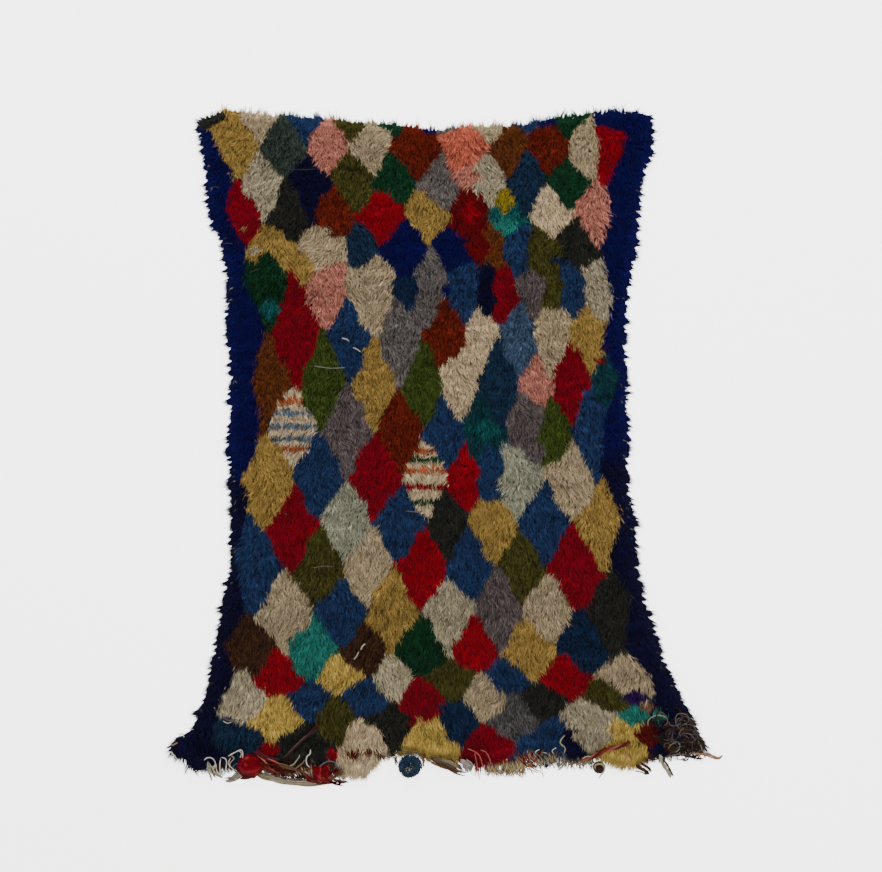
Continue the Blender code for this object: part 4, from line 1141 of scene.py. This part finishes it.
def makeRagBall(ball):
    # a ball built up by wide wraps: painted shade darkens each wrap towards its edges, in the creases where
    # wraps cross, and a pale painted highlight lies along the ridges of its folds
    low, high = (np.array(corner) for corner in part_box(ball["node"]))
    bpy.ops.object.select_all(action="DESELECT")
    bpy.ops.mesh.primitive_ico_sphere_add(subdivisions=5, radius=1)
    piece = bpy.context.object
    piece.name = ball["name"]
    mesh = piece.data
    points = np.empty(len(mesh.vertices) * 3, np.float32)
    mesh.vertices.foreach_get("co", points)
    points = points.reshape(-1, 3).astype(float)
    points /= np.linalg.norm(points, axis=1, keepdims=True)
    picks = np.random.default_rng(ball["seed"])
    reach = np.full(len(points), 0.70)
    crease = np.zeros(len(points))
    paintedHighlight = np.zeros(len(points))
    for wrap in range(ball["wraps"]):
        normal = picks.normal(0, 1, 3)
        normal /= np.linalg.norm(normal)
        offset = picks.uniform(-0.5, 0.5)
        width = picks.uniform(0.5, 1.0)
        away = (points @ normal - offset) / width
        inside = np.abs(away) < 1
        bends = np.sin(points @ picks.normal(0, 3.4, 3) + picks.uniform(0, 6))
        bends += np.sin(points @ picks.normal(0, 5.0, 3))
        folds = np.sin(away * picks.uniform(3, 6) + 1.4 * bends)
        lift = 0.70 + 0.026 * wrap + 0.13 * np.sqrt(np.clip(1 - away ** 2, 0, 1)) + 0.06 * folds
        above = inside & (lift > reach - 0.02)
        reach[above] = lift[above]
        # crease: 1 in the middle of the top wrap, falling to 0 at its edges, sets the painted shade; the
        # painted highlight marks the ridges of its folds
        crease[above] = np.clip(1 - np.abs(away[above]) ** 3, 0, 1) * (0.72 + 0.28 * folds[above])
        paintedHighlight[above] = (np.clip(1 - np.abs(away[above]) ** 2, 0, 1) * np.clip(folds[above], 0, 1) ** 5
                       * np.clip(bends[above], 0, 1) * picks.uniform(0, 1) ** 2)
    points *= reach[:, None]
    span = points.max(0) - points.min(0)
    points = (points - (points.max(0) + points.min(0)) / 2) / span
    points = points * (high - low) * [ball["grow"], ball["grow"], 0.99]
    points += (low + high) / 2 + ball["move"]
    mesh.vertices.foreach_set("co", points.astype(np.float32).ravel())
    mesh.polygons.foreach_set("use_smooth", np.ones(len(mesh.polygons), bool))
    base, pale = dyeOf(ball["dye"]), dyeOf("salmon")
    full = np.ones((len(points), 4), np.float32)
    # colour: painted shade in the creases, and the pale painted highlight on the fold ridges
    full[:, :3] = base * (0.12 + 0.56 * crease[:, None]) * (1 - paintedHighlight[:, None]) + pale * paintedHighlight[:, None]
    dye = mesh.color_attributes.new("dye", "FLOAT_COLOR", "POINT")
    dye.data.foreach_set("color", full.ravel())
    mesh.materials.append(ballFinish(ball["name"] + "Rag"))
    mesh.update()
    return piece


pompom = {
    "strands": 2400,
    "radius": 1.2 * mm,
    "yarns": "blue darkBlue darkBlue coldCharcoal darkTeal darkBlue denim",
    "grow": 1.10,
    "move": (0, -9 * mm, 0),
    "dyeStrength": 1.25,
    "goldenTurn": 2.39996,      # radians, spreads the strands evenly
}


def makePompom():
    picks = np.random.default_rng(8)
    low, high = (np.array(corner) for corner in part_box("blue_pompom"))
    middle = (low + high) / 2 + pompom["move"]
    half = (high - low) / 2 * [pompom["grow"], pompom["grow"], 1]
    count = pompom["strands"]
    turns = np.arange(count) * pompom["goldenTurn"]
    height = 1 - 2 * (np.arange(count) + 0.5) / count
    wide = np.sqrt(1 - height ** 2)
    ways = np.column_stack([wide * np.cos(turns), wide * np.sin(turns), height])
    ways += picks.normal(0, 0.16, ways.shape)
    ways /= np.linalg.norm(ways, axis=1, keepdims=True)
    reach = picks.uniform(0.78, 1.04, count)[:, None]
    root = middle + ways * half * 0.05
    tip = middle + ways * half * reach
    tip[:, 2] = np.clip(tip[:, 2], 1.2 * mm, None)
    names = pompom["yarns"].split()
    yarns = [names[place] for place in picks.integers(0, len(names), count)]
    for place in np.flatnonzero((height > 0.955) & (picks.uniform(0, 1, count) < 0.3)):
        yarns[place] = "white"          # pale threads of the tie, in the middle
    base = np.array([dyeOf(yarn) for yarn in yarns]) * picks.uniform(0.6, 1.2, count)[:, None]
    radii = np.column_stack([np.zeros(count), np.full(count, pompom["radius"])])
    return strandPiece("yarnPompom", np.stack([root, tip], axis=1), radii, 3, base * pompom["dyeStrength"],
                       woolFinish("pompomWool", 0.3), seed=9, capped=True)


# rag rolled to a cord, its way in metres, laid over the lower edge of the pile

rolledCord = {
    "route": [(0.4132, -0.9453, 0.0185), (0.4472, -0.9343, 0.0205), (0.4872, -0.9113, 0.0285),
              (0.5272, -0.8993, 0.0335), (0.5592, -0.8873, 0.0335)],
    "thick": 15 * mm,
    "points": 60,
    "plies": ("salmon", "brick", "darkBrick"),
    "turns": 1.9,
    "plyAway": 0.23,            # shares of the thickness
    "plyRadius": 0.27,
    "dim": 0.66,
}


def makeRolledCord():
    line = smoothRoute(rolledCord["route"], rolledCord["points"])
    ways = np.gradient(line, axis=0)
    ways /= np.linalg.norm(ways, axis=1, keepdims=True)
    across = np.cross(ways, [0, 0, 1.0])
    across /= np.linalg.norm(across, axis=1, keepdims=True)
    over = np.cross(across, ways)
    shares = np.linspace(0, 1, len(line))
    body = 0.62 + 0.38 * np.sin(math.pi * shares) ** 0.5
    paths, radii, colours = [], [], []
    for ply, yarn in enumerate(rolledCord["plies"]):
        angle = 2 * math.pi * (shares * rolledCord["turns"] + ply / len(rolledCord["plies"]))
        offset = rolledCord["plyAway"] * rolledCord["thick"] * body
        aside = (np.cos(angle) * offset)[:, None] * across
        paths.append(line + aside + (np.sin(angle) * offset)[:, None] * over)
        radius = rolledCord["plyRadius"] * rolledCord["thick"] * body
        radius[0] = radius[-1] = 0
        radius[1] *= 0.7
        radius[-2] *= 0.7
        radii.append(radius)
        colours.append(dyeOf(yarn) * rolledCord["dim"])
    return strandPiece("rolledRagCord", paths, radii, 12, colours, ballFinish("rolledRag"), seed=11), line


# little coil of dark yarn tied at the edge: its middle (cm), and each ring's yarn, size (cm), thickness and
# height (mm)

coil = {
    "across": 46.9,
    "along": -97.0,
    "rings": [("darkBrown", 0.15, 8.0, 7), ("charcoal", 0.50, 7.6, 6), ("darkBrown", 0.90, 7.2, 5),
              ("charcoal", 1.30, 6.8, 3), ("darkBrown", 1.60, 6.4, 1)],
    "dim": 0.8,
}


def makeCoil():
    paths, radii, colours = [], [], []
    picks = np.random.default_rng(12)
    for yarn, size, thick, height in coil["rings"]:
        angles = np.linspace(0.3, 0.3 + 6.9, 10)
        loop = np.column_stack([coil["across"] + size * np.cos(angles),
                                coil["along"] + size * 1.02 * np.sin(angles)])
        loop += picks.normal(0, 0.05, loop.shape)
        flatWay = smoothRoute(loop, 24)
        paths.append(np.column_stack([flatWay * cm, np.full(24, (height + thick / 2) * mm)]))
        radii.append(thick / 2 * mm * np.concatenate([[0, 0.8], np.ones(20), [0.8, 0]]))
        colours.append(dyeOf(yarn) * coil["dim"])
    return strandPiece("yarnCoil", paths, radii, 8, colours, woolFinish("coilWool", 0.35), seed=13)


# ground cloth: the woven back that shows from below and between the rows

ground = {
    "columns": 80,
    "rows": 98,
    "thickness": 4.0 * mm,
    "inset": 0.0012,            # how far it keeps from the outline, as a share of the width and length
    "warpPitch": 4.6 * mm,
    "weftPitch": 4.1 * mm,
}


def groundFinish():
    # back of the weave: a dash of yarn for each knot, and wefts between the rows
    finish = Finish("wovenGround", 0.95)
    where = finish.where()
    parts = finish.put("ShaderNodeSeparateXYZ", Vector=where)
    x, y = finish.wave(parts, 0), finish.wave(parts, 1)
    fibres = finish.noise(where, scale=700.0, detail=2.0)
    cloudy = finish.noise(where, scale=14.0, detail=3.0)
    warps = (x * (fullTurn / ground["warpPitch"])).sin()
    wefts = (y * (fullTurn / ground["weftPitch"]) + warps * 1.2).sin()
    knotRows = (y * (fullTurn / pile["rowPitch"])).sin().above(-0.15)
    cotton = linear(170, 150, 118)
    underside = 1 - finish.wave(parts, 2).above(1.5 * mm)
    colour = finish.mix((1 - knotRows) * underside, finish.dye(), cotton)
    # wefts * 0.12 is painted shade: darker in the dips of the weft wave that the bump carves
    shade = 0.72 + wefts * 0.12 + (fibres - 0.5) * 0.35 + (cloudy - 0.5) * 0.3
    finish.tint(colour, shade)
    finish.bump(wefts * 0.5 + warps * 0.25 + fibres * 0.5, distance=0.8 * mm, strength=0.8)
    return finish.material


def makeGround():
    columns, rows = ground["columns"], ground["rows"]
    share = ground["inset"]
    across = np.linspace(share, 1 - share, columns + 1)
    along = np.linspace(share, 1 - share, rows + 1)
    acrossGrid, alongGrid = np.meshgrid(across, along)
    x, y = rugPlace(acrossGrid.ravel(), alongGrid.ravel())
    flat = np.stack([x * cm, y * cm, np.zeros(len(x))], axis=-1)
    points = np.concatenate([flat, flat + [0, 0, ground["thickness"]]])
    index = np.arange(len(flat)).reshape(rows + 1, columns + 1)
    a, b = index[:-1, :-1].ravel(), index[:-1, 1:].ravel()
    c, d = index[1:, 1:].ravel(), index[1:, :-1].ravel()
    top = len(flat)
    under = np.stack([a, d, c, b], axis=-1)
    over = np.stack([a, b, c, d], axis=-1) + top
    rim = np.concatenate([index[0, :], index[1:, -1], index[-1, -2::-1], index[-2:0:-1, 0]])
    after = np.roll(rim, -1)
    walls = np.stack([rim, after, after + top, rim + top], axis=-1)
    faces = np.concatenate([under, over, walls])
    mesh = bpy.data.meshes.new("groundCloth")
    mesh.from_pydata(points.tolist(), [], faces.tolist())
    middles = points[faces].mean(axis=1)
    picks = np.random.default_rng(2)
    yarns = yarnAt(middles[:, 0] / cm, middles[:, 1] / cm, picks)
    base = np.array([dyeOf(yarn) for yarn in yarns])
    base *= 1 + picks.normal(0, 0.08, len(base))[:, None]
    colours = np.ones((len(faces), 4, 4), np.float32)
    colours[:, :, :3] = np.clip(base, 0.0008, brightest)[:, None, :]
    dye = mesh.color_attributes.new("dye", "FLOAT_COLOR", "CORNER")
    dye.data.foreach_set("color", colours.ravel())
    piece = bpy.data.objects.new("groundCloth", mesh)
    bpy.context.scene.collection.objects.link(piece)
    mesh.materials.append(groundFinish())
    return piece


# stage: pale floor, soft studio light, camera straight above

stageSetup = {
    "floorSize": 16.0,
    "floorColour": (252, 252, 251),
    "floorGlow": 2.5,
    "worldColour": (255, 255, 255),
    "worldStrength": 1.45,
    "lens": 50.0,
    "sensor": 36.0,
    "photoWidth": 882,
    "pixelSize": 3 * mm,
    "lookX": -0.75 * cm,
    "lookY": 2.85 * cm,
    "pileTop": 22 * mm,
}


def makeStage():
    bpy.ops.object.select_all(action="DESELECT")
    bpy.ops.mesh.primitive_plane_add(size=stageSetup["floorSize"], location=(0, 0, 0))
    floor = bpy.context.object
    floor.name = "floor"
    paper = Finish("paleFloor", 0.9)
    paper.colour(linear(*stageSetup["floorColour"]))
    paper.shader.inputs["Emission Color"].default_value = (1, 1, 1, 1)
    paper.shader.inputs["Emission Strength"].default_value = stageSetup["floorGlow"]
    floor.data.materials.append(paper.material)

    world = bpy.data.worlds.new("studio")
    bpy.context.scene.world = world
    world.use_nodes = True
    sky = world.node_tree.nodes["Background"]
    sky.inputs["Color"].default_value = linear(*stageSetup["worldColour"])
    sky.inputs["Strength"].default_value = stageSetup["worldStrength"]

    softboxes = [
        {"name": "softboxTop", "place": (-0.9, 2.6, 2.9), "size": 2.6, "power": 135.0},
        {"name": "softboxSide", "place": (2.6, 0.4, 2.8), "size": 2.4, "power": 55.0},
    ]
    for box in softboxes:
        lamp = bpy.data.lights.new(box["name"], "AREA")
        lamp.size = box["size"]
        lamp.energy = box["power"]
        light = bpy.data.objects.new(box["name"], lamp)
        light.location = box["place"]
        aim = -np.array(box["place"])
        tilt = math.acos(-aim[2] / np.linalg.norm(aim))
        light.rotation_euler = (tilt, 0, math.atan2(aim[1], aim[0]) - math.pi / 2)
        bpy.context.scene.collection.objects.link(light)

    view = bpy.data.cameras.new("camera")
    view.lens = stageSetup["lens"]
    view.sensor_width = stageSetup["sensor"]
    camera = bpy.data.objects.new("camera", view)
    seenWidth = stageSetup["photoWidth"] * stageSetup["pixelSize"]
    distance = seenWidth * stageSetup["lens"] / stageSetup["sensor"]
    camera.location = (stageSetup["lookX"], stageSetup["lookY"], stageSetup["pileTop"] + distance)
    bpy.context.scene.collection.objects.link(camera)
    bpy.context.scene.camera = camera
    print("stage ready")


makeStage()
groundCloth = makeGround()
print("ground cloth woven")
pilePieces = makePile()
strayYarns = makeStrays()
selvedge = makeSelvedgeThreads()
for piece in [groundCloth, *pilePieces, strayYarns, selvedge]:
    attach(piece, "root")
    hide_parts("pile_rug")

endPieces = [makeYarnEnds(), makeRagStrips(), makeWarpEnds(), makeTangle(), makeCoil()]
for piece in endPieces:
    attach(piece, "root")
    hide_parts("lower_fringe")
print("loose ends laid")

for ball in ragBalls:
    piece = makeRagBall(ball)
    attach(piece, "root")
    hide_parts(ball["node"])

yarnPompom = makePompom()
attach(yarnPompom, "root")
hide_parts("blue_pompom")

rolledRagCord, cordLine = makeRolledCord()
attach(rolledRagCord, "root")
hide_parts("rag_cord")
print("knots, pompom and cord tied in")

triangles = sum(sum(len(face.vertices) - 2 for face in piece.data.polygons) for piece in bpy.data.objects
                if piece.type == "MESH" and not piece.hide_render)
print("triangles shown:", triangles)
